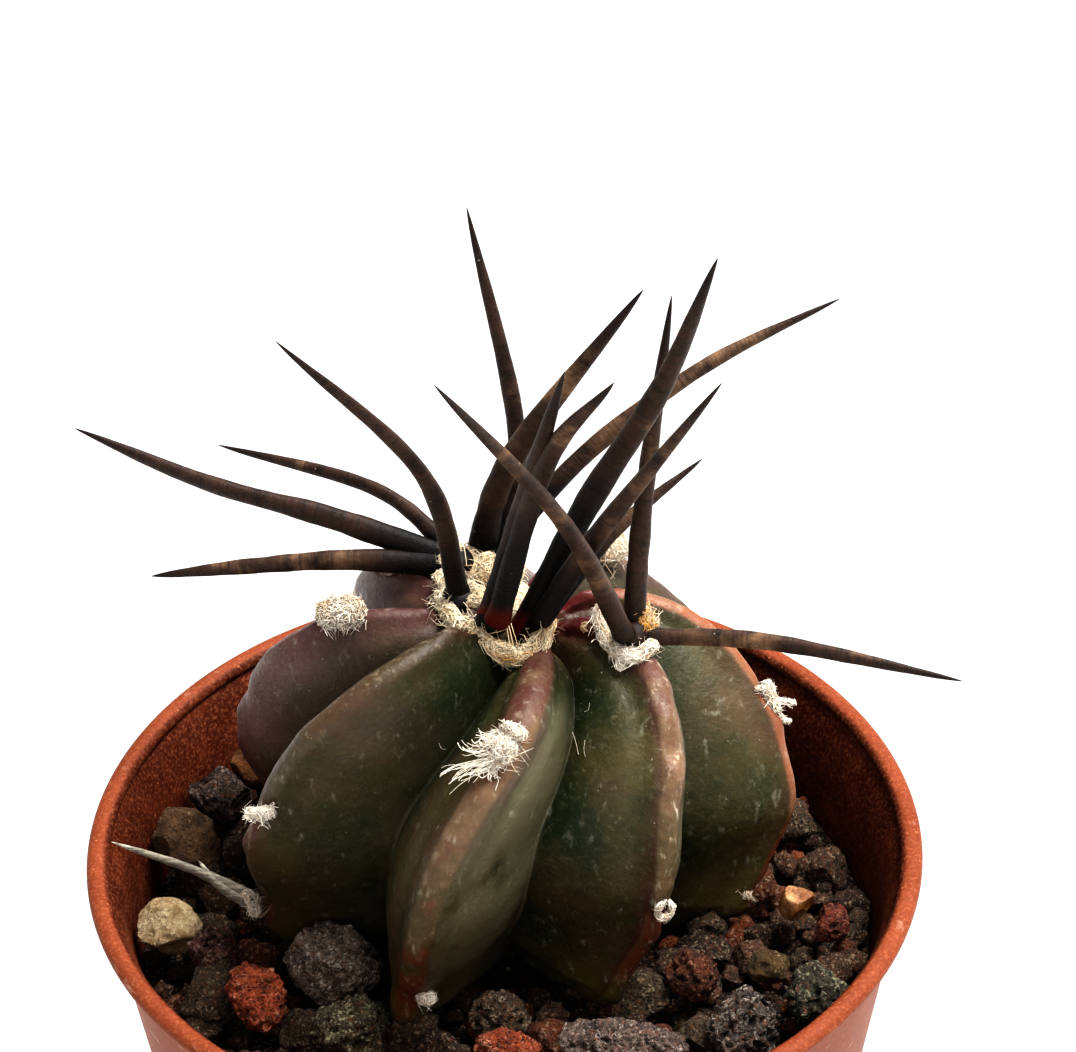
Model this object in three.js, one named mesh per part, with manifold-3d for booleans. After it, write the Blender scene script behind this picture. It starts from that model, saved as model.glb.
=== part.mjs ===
// Potted goats horn cactus: an eight-ribbed globe with long dark curved spines,
// in a 6.5 cm round plastic pot dressed with lava gravel.
// Millimetres, +Z up. The origin is the middle of the pot's flat bottom.
import * as THREE from 'three';
import { mergeVertices } from 'three/addons/utils/BufferGeometryUtils.js';
import Module from 'manifold-3d';

const wasm = await Module();
wasm.setup();

// Pot
const LIP_LEVEL = 55;
const RIM_RADIUS = 32.5;
const BASE_RADIUS = 22.5;
const WALL = 1.0;
const LIP_OVERHANG = 1.2;
const LIP_HALF_WIDTH = 0.85;
const LIP_HALF_HEIGHT = 0.7;
const FLOOR = 1.6;
const BASE_CORNER = 1.2;
const DRAIN_HOLES = 6;
const DRAIN_RADIUS = 2.5;
const DRAIN_CIRCLE = 13;
const DRAIN_SIDES = 16;
const POT_SIDES = 48;
const FILL_SIDES = 40;

// Filling
const GAP = 0.3;
const SLIVER = 0.03;
const SOIL_LEVEL = LIP_LEVEL - 6.5;
const GRAVEL_DEPTH = 5;
const MIX_TOP = SOIL_LEVEL - GRAVEL_DEPTH;
const GRAVEL_BASE = MIX_TOP + GAP;
const GRAVEL_FLAT = SOIL_LEVEL - 3;
const GRAVEL_STONES = 44;
const GRAVEL_SEED = 25;
const GRAVEL_MARGIN = 1.6;
const GRAVEL_CLEAR = 15.5;
const STONE_MIN = 2.1;
const STONE_SPREAD = 1.2;
const STONE_ROUGHNESS = 0.13;
const STONE_SEED = 200;
const BED_SEED = 500;
const STONE_RISE = 0.7;
const STONE_REACH = 0.8;
const CANDIDATES = 14;

// Plant: where it stands, how it leans, and the common profile of a rib's crest.
const PLANT_X = 1;
const PLANT_Y = 5;
const LEAN_X = -0.1;
const LEAN_Y = -0.22;
const LEAN_HEIGHT = 20;
const CREST_RADIUS = [1.5, 6, 10.5, 15, 18.8, 21.1, 22.2, 21, 19];
const CREST_HEIGHT = [24, 26.5, 26.7, 24.8, 20.7, 15.5, 10, 5.6, 0];
const CREST_TWIST = [39, 31, 22.5, 15.5, 7.5, 0, -4, -7, -12.5];
const FURROW_RADIUS = [2, 6.6, 9, 10.8, 12.2, 13.3, 13.9, 12.9, 10.9];
const FURROW_HEIGHT = [23, 23.1, 21.6, 19.4, 16.5, 13.2, 9.6, 5.8, 2.2];
const CAP_RADIUS = [0.3, 0.9, 1.3, 1.4, 1.4, 1.35, 1.3, 1.3, 1.2];
const CAP_EDGE = 32;
const CAP_SHOULDER = 64;
const FLANK_BULGE = [0, 0.2, 0.4, 0.6, 0.7, 0.7, 0.7, 0.6, 0.4];
const BODY_LEVELS = 16;
const CROWN_DIMPLE = 1.2;
const NOTCH_DEPTH = 0.7;
const NOTCH_SPREAD = 0.022;
const CHIN_DROP = 0.055;
const CHIN_HEIGHT = 0.6;

// Under the globe and down the root: radius and height above the gravel, first below a
// rib's foot, then between two feet.
const UNDERSIDE = [
  { foot: [15.5, -2.2], hollow: [8.5, -0.4] },
  { foot: [10, -3.4], hollow: [7, -2.4] },
  { foot: [5.4, -4.4], hollow: [5.4, -4.4] },
  { foot: [4.2, -8], hollow: [4.2, -8] },
  { foot: [3, -17], hollow: [3, -17] },
  { foot: [1.3, -25], hollow: [1.3, -25] },
];
const UNDERSIDE_SHARES = [-0.6, -0.2, -0.1, 0, 0.1, 0.2, 0.6, 1];
const ROOT_TIP = 26.5;
const HOLE_SIDES = 24;
const BODY_GAP = 0.4;

// Ribs, anticlockwise from the left one as seen from above. Azimuth is at mid-height,
// reach, rise, cap and relief are shares of the common values, swing is how far the
// furrow after the rib stands off the middle, in degrees, and areoles lie along the
// crest from 0 at the crown to 1 at the gravel.
const RIBS = [
  {
    azimuth: 174.5, reach: 1.0, rise: 1.0, cap: 0.7, relief: 0.35, swing: 0, areoles: [0.1, 0.325, 0.62],
  },
  {
    azimuth: 215.5, reach: 1.08, rise: 1.04, cap: 0.8, relief: 0.9, swing: 0, areoles: [0.15, 0.675, 0.9],
  },
  {
    azimuth: 256, reach: 1.09, rise: 0.98, cap: 1.25, relief: 0.6, swing: -4, areoles: [0.06, 0.45, 0.925],
  },
  {
    azimuth: 307, reach: 0.92, rise: 1.0, cap: 0.9, relief: 0.8, swing: 0, areoles: [0.28, 0.5, 0.79],
  },
  {
    azimuth: 355, reach: 0.99, rise: 0.99, cap: 0.7, relief: 0.45, swing: 0, areoles: [0.08, 0.54, 0.97],
  },
  {
    azimuth: 38.5, reach: 0.99, rise: 0.99, cap: 0.75, relief: 0.5, swing: 0, areoles: [0.34, 0.6, 0.85],
  },
  {
    azimuth: 82, reach: 1.0, rise: 0.95, cap: 0.75, relief: 0.5, swing: 0, areoles: [0.1, 0.45, 0.75],
  },
  {
    azimuth: 127.5, reach: 0.92, rise: 0.99, cap: 0.75, relief: 0.5, swing: 0, areoles: [0.12, 0.29, 0.62],
  },
];

// Spines: each runs from its areole through one or two middle points to its tip.
// Heights are measured from the widest ring of the pot's lip.
const SPINE_SIDES = 6;
const SPINE_STEPS = 9;
const SPINE_WIDTH = 1.8;
const SPINE_FLATNESS = 0.72;
const SPINE_ROOT = 0.35;
const ROOT_SWELLING = 0.4;
const SWELLING_REACH = 0.07;
const TIP_TAPER = 0.97;
const TIP_POWER = 2.4;
const KNOB_RADIUS = 1.4;
const KNOB_STRETCH = [1.15, 1.15, 0.9];
const KNOB_MARGIN = 1.5;
const SPINES = {
  spines_rib_1: [
    { path: [[-2.9, 3.2, 22], [-6.2, 0.6, 35.4], [-15.2, -3, 50]] },
  ],
  spines_rib_2: [
    { path: [[-0.7, 0.2, 22.4], [2.3, -5, 37.7], [5.1, -10, 51.8]] },
    { path: [[-0.2, -0.8, 22.5], [3.7, -6.8, 41.6], [8.5, -11, 51.5]] },
  ],
  spines_rib_3: [
    { path: [[1.7, 1, 20], [6.7, -0.2, 32.6], [12.2, -1.3, 44.4], [16, -2.5, 56]], width: 2.2 },
    { path: [[2.3, 0.4, 20.2], [7, -3.9, 32.4], [15.9, -12, 52]], width: 2 },
    { path: [[2.9, 1.5, 20.2], [8.6, 4.8, 26.5], [15.5, 8, 31]], width: 1.5 },
  ],
  spines_rib_4: [
    { path: [[10.1, 0.2, 21.2], [10.9, 1.2, 32], [13, 3, 49.2]], width: 1.9 },
    { path: [[9.5, -1, 21.2], [4.9, -7.8, 37.1], [-3.7, -18, 56.5]] },
    { path: [[10.8, -0.4, 20.8], [20.4, -3, 22], [34.2, -7, 21.2]] },
  ],
  spines_rib_7: [
    { path: [[-0.5, 11.6, 18.9], [1.4, 13.8, 29.1], [-1.8, 18, 47.4]] },
    { path: [[-1.4, 11.2, 19.2], [1.4, 11.3, 29.2], [11.2, 11.6, 44]], width: 2.3 },
    { path: [[-0.8, 11.8, 18.6], [6.7, 14.5, 26.8], [16.2, 17.3, 33.1], [26.5, 20, 37.2]] },
  ],
  spines_rib_8: [
    { path: [[-3.2, 8.6, 21.4], [-13.3, 11.5, 24], [-32.5, 17, 28.5]] },
    { path: [[-3.1, 9, 21.5], [-9.4, 13.4, 24.8], [-21.8, 20, 24.5]], width: 1.6 },
    { path: [[-3.3, 8.2, 21.3], [-11.3, 9.2, 21.6], [-26.9, 11, 18.6]] },
  ],
};
const OLD_SPINES = [
  { path: [[-19.4, -4.6, -0.9], [-24, -3.4, 1], [-30.3, -2, 2.8]], width: 1.3 },
  { path: [[-20, -4.8, -1.2], [-22.2, -4.2, 0.2], [-23.6, -3, 1.6]], width: 1.2 },
];

// Wool: the felted mass at the crown, then one tuft for each areole further out.
const WOOL_SEED = 299;
const TUFT_SEED = 400;
const CROWN_WOOL = [
  { centre: [0, 4, 20], size: [3, 3, 1.6], detail: 0 },
  { centre: [-4.6, 3.6, 21.2], size: [1.7, 1.9, 1.7] },
  { centre: [-4, 1.2, 21.9], size: [1.4, 1.6, 1.5] },
  { centre: [-2.4, -1.2, 22.3], size: [1.6, 1.4, 1.4] },
  { centre: [-0.8, -2.3, 21.7], size: [1.7, 1.2, 1.3] },
  { centre: [1, -2.3, 20.9], size: [1.7, 1.3, 1.3] },
  { centre: [2.9, -1.6, 21], size: [1.6, 1.3, 1.2] },
  { centre: [4.2, 0, 21.4], size: [1.2, 1.3, 1.1] },
  { centre: [1.2, 5.2, 19.4], size: [3.8, 3.6, 2.2], detail: 0 },
  { centre: [-3.2, 7.4, 21], size: [2.4, 2.6, 2.4], detail: 0 },
  { centre: [1.9, 9.6, 18.4], size: [2.2, 2.6, 1.9], detail: 0 },
  { centre: [-0.9, 11.2, 19.2], size: [2.6, 2.4, 2.4], detail: 0 },
];
const WOOL_ROUGHNESS = 0.16;
const TUFT_ROUGHNESS = 0.22;
const TUFT_LIFT = 0.35;
const TUFT_HEIGHT = 0.8;
const TUFTS = [
  { name: 'wool_rib_1_side', rib: 0, at: 0.325, size: 1.9 },
  { name: 'wool_rib_2_side', rib: 1, at: 0.675, size: 1.4 },
  { name: 'wool_rib_2_foot', rib: 1, at: 0.9, size: 1.2 },
  { name: 'wool_rib_3_side', rib: 2, at: 0.45, size: 2.2 },
  { name: 'wool_rib_3_foot', rib: 2, at: 0.925, size: 1.2 },
  { name: 'wool_rib_4_upper', rib: 3, at: 0.28, size: 2.3 },
  { name: 'wool_rib_4_foot', rib: 3, at: 0.79, size: 1.1 },
  { name: 'wool_rib_5_side', rib: 4, at: 0.54, size: 1.5 },
  { name: 'wool_rib_5_foot', rib: 4, at: 0.97, size: 1.1 },
  { name: 'wool_rib_6_upper', rib: 5, at: 0.34, size: 1.6 },
  { name: 'wool_rib_7_side', rib: 6, at: 0.45, size: 1.6 },
  { name: 'wool_rib_8_side', rib: 7, at: 0.29, size: 1.6 },
];

// Stones that stand out by their size or colour: middle on plan, half sizes, and how
// far the middle is above the gravel level.
const STONES = [
  { name: 'stone_slate_large', x: -13.2, y: -7.8, size: [3.7, 3.4, 3.4], lift: 1.8, color: '#3b3538' },
  { name: 'stone_lava_red_left', x: -19.2, y: -11.2, size: [2.6, 3, 3.1], lift: 1.4, color: '#7c3a2b' },
  { name: 'stone_pumice_cream', x: -26.4, y: -2.8, size: [2.8, 2.5, 2.3], lift: 1.2, color: '#b8ac94' },
  { name: 'stone_olive_left', x: -11.6, y: -14.8, size: [3.2, 3, 2.8], lift: 0.8, color: '#55514a' },
  { name: 'stone_plum_left', x: -22.6, y: -5.4, size: [2.1, 2, 2.2], lift: 0.9, color: '#5a3f3c' },
  { name: 'stone_brown_left', x: -25.8, y: 6.8, size: [2.9, 2.8, 2.6], lift: 1.6, color: '#4e3b35' },
  { name: 'stone_purple_back', x: -23.2, y: 12.8, size: [2.7, 2.2, 2.2], lift: 1.2, color: '#473a40' },
  { name: 'stone_ochre', x: -20.6, y: 16.6, size: [1.9, 1.9, 1.9], lift: 1.4, color: '#8a6238' },
  { name: 'stone_lava_red_front', x: 0, y: -17.8, size: [2.8, 2.4, 2.4], lift: 0.8, color: '#7a3c2c' },
  { name: 'stone_grey_front', x: -0.7, y: -12.6, size: [2.8, 2.3, 2.1], lift: 0.1, color: '#5b5349' },
  { name: 'stone_pink_slab', x: 8.2, y: -17.2, size: [5.4, 2.9, 2.7], lift: 1, color: '#6a5a58' },
  { name: 'stone_violet_large', x: 18.2, y: -15.2, size: [3, 3.1, 3], lift: 1.2, color: '#5c5056' },
  { name: 'stone_lava_brown_right', x: 14.2, y: -9, size: [2.4, 2.1, 2.2], lift: 0.8, color: '#613a2e' },
  { name: 'stone_olive_right', x: 23.6, y: -11.8, size: [2.6, 2.6, 2.5], lift: 1, color: '#3f3d37' },
  { name: 'stone_shell_cream', x: 20.3, y: -8.8, size: [1.8, 1.6, 1.5], lift: 1.2, color: '#b7a384' },
  { name: 'stone_amber', x: 22.8, y: -2, size: [1.5, 1.5, 1.6], lift: 1.6, color: '#a2672f' },
  { name: 'stone_lava_red_right', x: 25.4, y: -3.6, size: [1.6, 1.9, 1.9], lift: 0.9, color: '#6e3325' },
];

// Dark stones of the bed whose places show: middle on plan and half width.
const BED_STONES = [
  [-23.8, -12.4, 2.2], [-15.6, -11.8, 2.2], [-20.2, -16.6, 2.3], [-16.2, -18, 2.2], [-4.8, -15.4, 2.6],
  [3.4, -11.2, 2.1], [18.2, -10.2, 1.9], [25.2, -7.4, 2.2], [27, 0.8, 2.1], [25.4, 4.8, 2.5],
  [23.2, 10.8, 2.5], [15.4, -4, 2.2], [19.4, -5, 2.1], [-22.4, 3.4, 2.3], [-21, 8.6, 2.4],
];

const COLOURS = {
  pot: '#b5502e',
  mix: '#2f231c',
  gravel: '#453834',
  body: '#3d3b2a',
  spine: '#1f1613',
  oldSpine: '#a39a8a',
  crownWool: '#cdb68c',
  tuft: '#e6e1d6',
};

// Seeded draws between 0 and 1 (mulberry32).
function random(seed) {
  let state = seed >>> 0;
  return () => {
    state = (state + 0x6d2b79f5) >>> 0;
    let t = Math.imul(state ^ (state >>> 15), 1 | state);
    t = (t + Math.imul(t ^ (t >>> 7), 61 | t)) ^ t;
    return ((t ^ (t >>> 14)) >>> 0) / 4294967296;
  };
}

// A smooth curve through equally spaced values, read at t from 0 to 1.
function along(values, t) {
  const last = values.length - 1;
  const s = THREE.MathUtils.clamp(t, 0, 1) * last;
  const i = Math.min(Math.floor(s), last - 1);
  const u = s - i;
  const before = i > 0 ? values[i - 1] : 2 * values[0] - values[1];
  const after = i + 2 <= last ? values[i + 2] : 2 * values[last] - values[last - 1];
  const [a, b] = [values[i], values[i + 1]];
  const slopes = (b - before) * u + (2 * before - 5 * a + 4 * b - after) * u * u;
  return 0.5 * (2 * a + slopes + (3 * a - before - 3 * b + after) * u ** 3);
}

// Solids and geometries

function solid(geometry) {
  const bare = geometry.clone();
  bare.deleteAttribute('normal');
  bare.deleteAttribute('uv');
  const welded = mergeVertices(bare, 1e-4);
  return new wasm.Manifold(new wasm.Mesh({
    numProp: 3,
    vertProperties: Float32Array.from(welded.attributes.position.array),
    triVerts: Uint32Array.from(welded.index.array),
  }));
}

function geometryOf(manifold) {
  const mesh = manifold.getMesh();
  const geometry = new THREE.BufferGeometry();
  geometry.setAttribute('position', new THREE.BufferAttribute(mesh.vertProperties, 3));
  geometry.setIndex(new THREE.BufferAttribute(mesh.triVerts, 1));
  return geometry;
}

function indexed(points, triangles) {
  const geometry = new THREE.BufferGeometry();
  geometry.setAttribute('position', new THREE.Float32BufferAttribute(points.flat(), 3));
  geometry.setIndex(triangles.flat());
  return geometry;
}

// The largest piece of a cut solid, without loose scraps, sealed hollows and slivers.
function largest(manifold) {
  const pieces = manifold.decompose();
  return pieces
    .reduce((best, piece) => (piece.volume() > best.volume() ? piece : best))
    .simplify(SLIVER);
}

// The same welded shape, grown outwards along its vertex normals.
function grown(geometry, margin) {
  const copy = geometry.clone();
  copy.computeVertexNormals();
  const { position, normal } = copy.attributes;
  for (let i = 0; i < position.count; i += 1) {
    position.setXYZ(
      i,
      position.getX(i) + normal.getX(i) * margin,
      position.getY(i) + normal.getY(i) * margin,
      position.getZ(i) + normal.getZ(i) * margin,
    );
  }
  return copy;
}

// Rings of equal length skinned from first to last and closed by a point at each end.
// The rings run anticlockwise as seen from the last point.
function skin(rings, first, last) {
  const count = rings[0].length;
  const points = [...rings.flat(), first, last];
  const start = points.length - 2;
  const end = points.length - 1;
  const triangles = [];
  for (let k = 0; k < count; k += 1) {
    const next = (k + 1) % count;
    triangles.push([start, next, k]);
    for (let j = 0; j + 1 < rings.length; j += 1) {
      const [a, b] = [j * count + k, j * count + next];
      triangles.push([a, b, a + count], [b, b + count, a + count]);
    }
    const base = (rings.length - 1) * count;
    triangles.push([end, base + k, base + next]);
  }
  return indexed(points, triangles);
}

// Pot

const wallRadius = (z) => THREE.MathUtils.mapLinear(
  z, 0, LIP_LEVEL, BASE_RADIUS, RIM_RADIUS - LIP_OVERHANG,
);

function lathe(outline, sides) {
  const points = outline.map(([r, z]) => new THREE.Vector2(r, z));
  return new THREE.LatheGeometry(points, sides).rotateX(Math.PI / 2);
}

// The inside of the pot between two heights, clear of the wall.
function fill(bottom, top) {
  const inner = (z) => wallRadius(z) - WALL - GAP;
  return solid(lathe([[0, bottom], [inner(bottom), bottom], [inner(top), top], [0, top]], FILL_SIDES));
}

function potGeometry() {
  const lip = [-60, -25, 10, 45, 90, 135, 180, 220].map(THREE.MathUtils.degToRad).map((angle) => [
    RIM_RADIUS - LIP_HALF_WIDTH + LIP_HALF_WIDTH * Math.cos(angle),
    LIP_LEVEL + LIP_HALF_HEIGHT * Math.sin(angle),
  ]);
  const lipFoot = LIP_LEVEL - 1.2 * LIP_HALF_HEIGHT;
  const outline = [
    [0, 0],
    [BASE_RADIUS - BASE_CORNER, 0],
    [wallRadius(BASE_CORNER), BASE_CORNER],
    [wallRadius(lipFoot), lipFoot],
    ...lip,
    [wallRadius(lipFoot) - WALL, lipFoot - LIP_HALF_HEIGHT],
    [wallRadius(FLOOR) - WALL, FLOOR],
    [0, FLOOR],
  ];
  let pot = solid(lathe(outline, POT_SIDES));
  for (let k = 0; k < DRAIN_HOLES; k += 1) {
    const angle = (k / DRAIN_HOLES) * 2 * Math.PI;
    const drill = new THREE.CylinderGeometry(DRAIN_RADIUS, DRAIN_RADIUS, 3 * FLOOR, DRAIN_SIDES)
      .rotateX(Math.PI / 2)
      .translate(DRAIN_CIRCLE * Math.cos(angle), DRAIN_CIRCLE * Math.sin(angle), FLOOR / 2);
    pot = pot.subtract(solid(drill));
  }
  return geometryOf(pot);
}

// Plant

// Depth of the notch (below zero) and height of the chin at one place on a crest.
function crestRelief(rib, t) {
  return rib.relief * rib.areoles.reduce((sum, areole) => {
    const notch = Math.exp(-(((t - areole) / NOTCH_SPREAD) ** 2));
    const chin = Math.exp(-(((t - areole - CHIN_DROP) / NOTCH_SPREAD) ** 2));
    return sum - NOTCH_DEPTH * notch + CHIN_HEIGHT * chin;
  }, 0);
}

// A point of the plant from its radius, azimuth and height above the gravel, leaning
// with the plant.
function plantPoint(radius, degrees, height) {
  const angle = THREE.MathUtils.degToRad(degrees);
  const x = radius * Math.cos(angle);
  const y = radius * Math.sin(angle);
  const share = THREE.MathUtils.clamp(height / LEAN_HEIGHT, 0, 1);
  return new THREE.Vector3(
    PLANT_X + x,
    PLANT_Y + y,
    SOIL_LEVEL + height + (LEAN_X * x + LEAN_Y * y) * share,
  );
}

// The common profile at t, and its outward normal in the plane of the profile.
function profile(t) {
  const step = 0.01;
  const from = Math.max(0, t - step);
  const to = Math.min(1, t + step);
  const run = along(CREST_RADIUS, to) - along(CREST_RADIUS, from);
  const fall = along(CREST_HEIGHT, to) - along(CREST_HEIGHT, from);
  const length = Math.hypot(run, fall);
  return {
    radius: along(CREST_RADIUS, t),
    height: along(CREST_HEIGHT, t),
    twist: along(CREST_TWIST, t),
    out: -fall / length,
    up: run / length,
  };
}

function crestPoint(rib, t, inset = 0) {
  const p = profile(t);
  return plantPoint(
    (p.radius - inset * p.out) * rib.reach,
    rib.azimuth + p.twist,
    (p.height - inset * p.up) * rib.rise,
  );
}

// Azimuth, reach and rise of the furrow between a rib and the next one anticlockwise.
function between(index) {
  const rib = RIBS[index];
  const next = RIBS[(index + 1) % RIBS.length];
  const turn = THREE.MathUtils.euclideanModulo(next.azimuth - rib.azimuth, 360);
  return {
    azimuth: rib.azimuth + turn / 2 + rib.swing,
    reach: (rib.reach + next.reach) / 2,
    rise: (rib.rise + next.rise) / 2,
  };
}

function furrowPoint(furrow, t) {
  return plantPoint(
    along(FURROW_RADIUS, t) * furrow.reach,
    furrow.azimuth + along(CREST_TWIST, t),
    along(FURROW_HEIGHT, t) * furrow.rise,
  );
}

// Half a rib at level t, from the crest's middle (left out) to the furrow.
function flankPoints(rib, furrow, t, side) {
  const cap = along(CAP_RADIUS, t) * rib.cap;
  const bulge = along(FLANK_BULGE, t);
  const relief = crestRelief(rib, t);
  const centre = crestPoint(rib, t, cap - relief);
  const valley = furrowPoint(furrow, t);
  const outward = crestPoint(rib, t, -1).sub(crestPoint(rib, t)).normalize();
  const down = crestPoint(rib, Math.min(1, t + 0.02)).sub(crestPoint(rib, Math.max(0, t - 0.02)));
  const across = new THREE.Vector3().crossVectors(outward, down).normalize().multiplyScalar(side);
  const onCap = (degrees) => centre.clone()
    .addScaledVector(outward, cap * Math.cos(THREE.MathUtils.degToRad(degrees)))
    .addScaledVector(across, cap * Math.sin(THREE.MathUtils.degToRad(degrees)));
  const shoulder = onCap(CAP_SHOULDER);
  const middle = shoulder.clone().lerp(valley, 0.5)
    .addScaledVector(across, bulge)
    .addScaledVector(outward, bulge * 0.5);
  return [onCap(CAP_EDGE), shoulder, middle, valley];
}

function bodyRing(t) {
  return RIBS.flatMap((rib, index) => {
    const before = between((index + RIBS.length - 1) % RIBS.length);
    const left = flankPoints(rib, before, t, -1).slice(0, 3).reverse();
    const right = flankPoints(rib, between(index), t, 1);
    return [...left, crestPoint(rib, t, -crestRelief(rib, t)), ...right];
  }).map((point) => point.toArray());
}

// A ring under the globe, from the ribs' feet to the hollows between them.
function undersideRing({ foot, hollow }) {
  const twist = along(CREST_TWIST, 1);
  const { lerp, euclideanModulo } = THREE.MathUtils;
  return RIBS.flatMap((rib, index) => {
    const before = between((index + RIBS.length - 1) % RIBS.length);
    const back = euclideanModulo(rib.azimuth - before.azimuth, 360);
    const ahead = euclideanModulo(between(index).azimuth - rib.azimuth, 360);
    return UNDERSIDE_SHARES.map((s) => plantPoint(
      lerp(foot[0], hollow[0], Math.abs(s)),
      rib.azimuth + twist + s * (s < 0 ? back : ahead),
      lerp(foot[1], hollow[1], Math.abs(s)),
    ).toArray());
  });
}

function bodyGeometry() {
  const levels = Array.from({ length: BODY_LEVELS + 1 }, (_, k) => k / BODY_LEVELS);
  const rings = [...levels.map(bodyRing), ...UNDERSIDE.map(undersideRing)].reverse();
  const crown = plantPoint(0, 0, CREST_HEIGHT[0] - CROWN_DIMPLE).toArray();
  const tip = plantPoint(0, 0, -ROOT_TIP).toArray();
  return skin(rings, tip, crown);
}

// The plain hole that the underside and the root stand in.
function plantHole(margin) {
  return solid(lathe([
    [0, SOIL_LEVEL - ROOT_TIP - margin],
    ...UNDERSIDE.map(({ foot }) => [foot[0] + margin, SOIL_LEVEL + foot[1]]).reverse(),
    [0, SOIL_LEVEL],
  ], HOLE_SIDES)).translate(PLANT_X, PLANT_Y, 0);
}

// Spines

const fromRim = ([x, y, z]) => new THREE.Vector3(x, y, z + LIP_LEVEL);

// Half width of a spine: swollen at the root, slim along its length, sharp at the tip.
function spineHalfWidth(width, s) {
  const swelling = 1 + ROOT_SWELLING * Math.exp(-s / SWELLING_REACH);
  return (width / 2) * swelling * Math.sqrt(1 - TIP_TAPER * s ** TIP_POWER);
}

function spineGeometry({ path, width = SPINE_WIDTH }, margin = 0, share = 1) {
  const curve = new THREE.CatmullRomCurve3(path.map(fromRim), false, 'catmullrom', 0.5);
  const ahead = curve.getTangent(0);
  let broad = new THREE.Vector3().crossVectors(ahead, new THREE.Vector3(0, 1, 0)).normalize();
  const rings = [];
  const steps = Math.ceil(SPINE_STEPS * share);
  for (let k = 0; k < steps; k += 1) {
    const s = (share * k) / steps;
    const heading = curve.getTangent(s);
    broad = broad.clone().addScaledVector(heading, -broad.dot(heading)).normalize();
    const thin = new THREE.Vector3().crossVectors(heading, broad);
    const half = spineHalfWidth(width, s);
    const centre = curve.getPoint(s);
    rings.push(Array.from({ length: SPINE_SIDES }, (_, i) => {
      const angle = (i / SPINE_SIDES) * 2 * Math.PI;
      return centre.clone()
        .addScaledVector(broad, (half + margin) * Math.cos(angle))
        .addScaledVector(thin, (half * SPINE_FLATNESS + margin) * Math.sin(angle))
        .toArray();
    }));
  }
  const root = curve.getPoint(0).addScaledVector(curve.getTangent(0), -margin);
  const tip = curve.getPoint(share).addScaledVector(curve.getTangent(share), margin);
  return skin(rings, root.toArray(), tip.toArray());
}

// The spines of one areole, joined on a woody root: the whole of them, or only the
// share nearest the root.
function spineCluster(spines, margin = 0, share = 1) {
  const root = spines
    .reduce((sum, spine) => sum.add(fromRim(spine.path[0])), new THREE.Vector3())
    .divideScalar(spines.length);
  const knob = new THREE.IcosahedronGeometry(KNOB_RADIUS + KNOB_MARGIN * margin, 0)
    .scale(...KNOB_STRETCH)
    .translate(root.x, root.y, root.z);
  return spines.reduce(
    (sum, spine) => sum.add(solid(spineGeometry(spine, margin, share))),
    solid(knob),
  );
}

// Wool and stones

// A rough lump: an icosahedron with each corner pushed in or out.
function lump({ centre, size, detail, roughness, seed, turn = 0 }) {
  const draw = random(seed);
  const ball = new THREE.IcosahedronGeometry(1, detail);
  ball.deleteAttribute('normal');
  ball.deleteAttribute('uv');
  const welded = mergeVertices(ball, 1e-4);
  const { position } = welded.attributes;
  for (let i = 0; i < position.count; i += 1) {
    const share = 1 + roughness * (2 * draw() - 1);
    position.setXYZ(i, position.getX(i) * share, position.getY(i) * share, position.getZ(i) * share);
  }
  return welded.scale(...size).rotateZ(turn).translate(...centre);
}

function crownWool() {
  const [base, ...rest] = CROWN_WOOL.map(({ centre, size, detail = 1 }, index) => solid(lump({
    centre: fromRim(centre).toArray(),
    size,
    detail,
    roughness: WOOL_ROUGHNESS,
    seed: WOOL_SEED + index,
  })));
  return rest.reduce((sum, mass) => sum.add(mass), base);
}

function tuftSolid({ rib, at, size }, index) {
  const middle = crestPoint(RIBS[rib], at, NOTCH_DEPTH - TUFT_LIFT * size);
  return solid(lump({
    centre: middle.toArray(),
    size: [size, size, size * TUFT_HEIGHT],
    detail: 1,
    roughness: TUFT_ROUGHNESS,
    seed: TUFT_SEED + index,
  }));
}

function stoneLump({ x, y, size, lift, seed, detail = 1, turn = 0 }, margin = 0) {
  return lump({
    centre: [x, y, SOIL_LEVEL + lift],
    size: size.map((half) => half + margin),
    detail,
    roughness: STONE_ROUGHNESS,
    seed,
    turn,
  });
}

// A stone of the bed, sunk by a share of its height.
function bedStone(x, y, half, draw, index) {
  const halfHeight = half * (0.8 + 0.2 * draw());
  return {
    x,
    y,
    size: [half, half * (0.8 + 0.3 * draw()), halfHeight],
    lift: GRAVEL_FLAT - SOIL_LEVEL + STONE_RISE * halfHeight,
    turn: Math.PI * draw(),
    detail: 0,
    seed: BED_SEED + index,
  };
}

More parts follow.
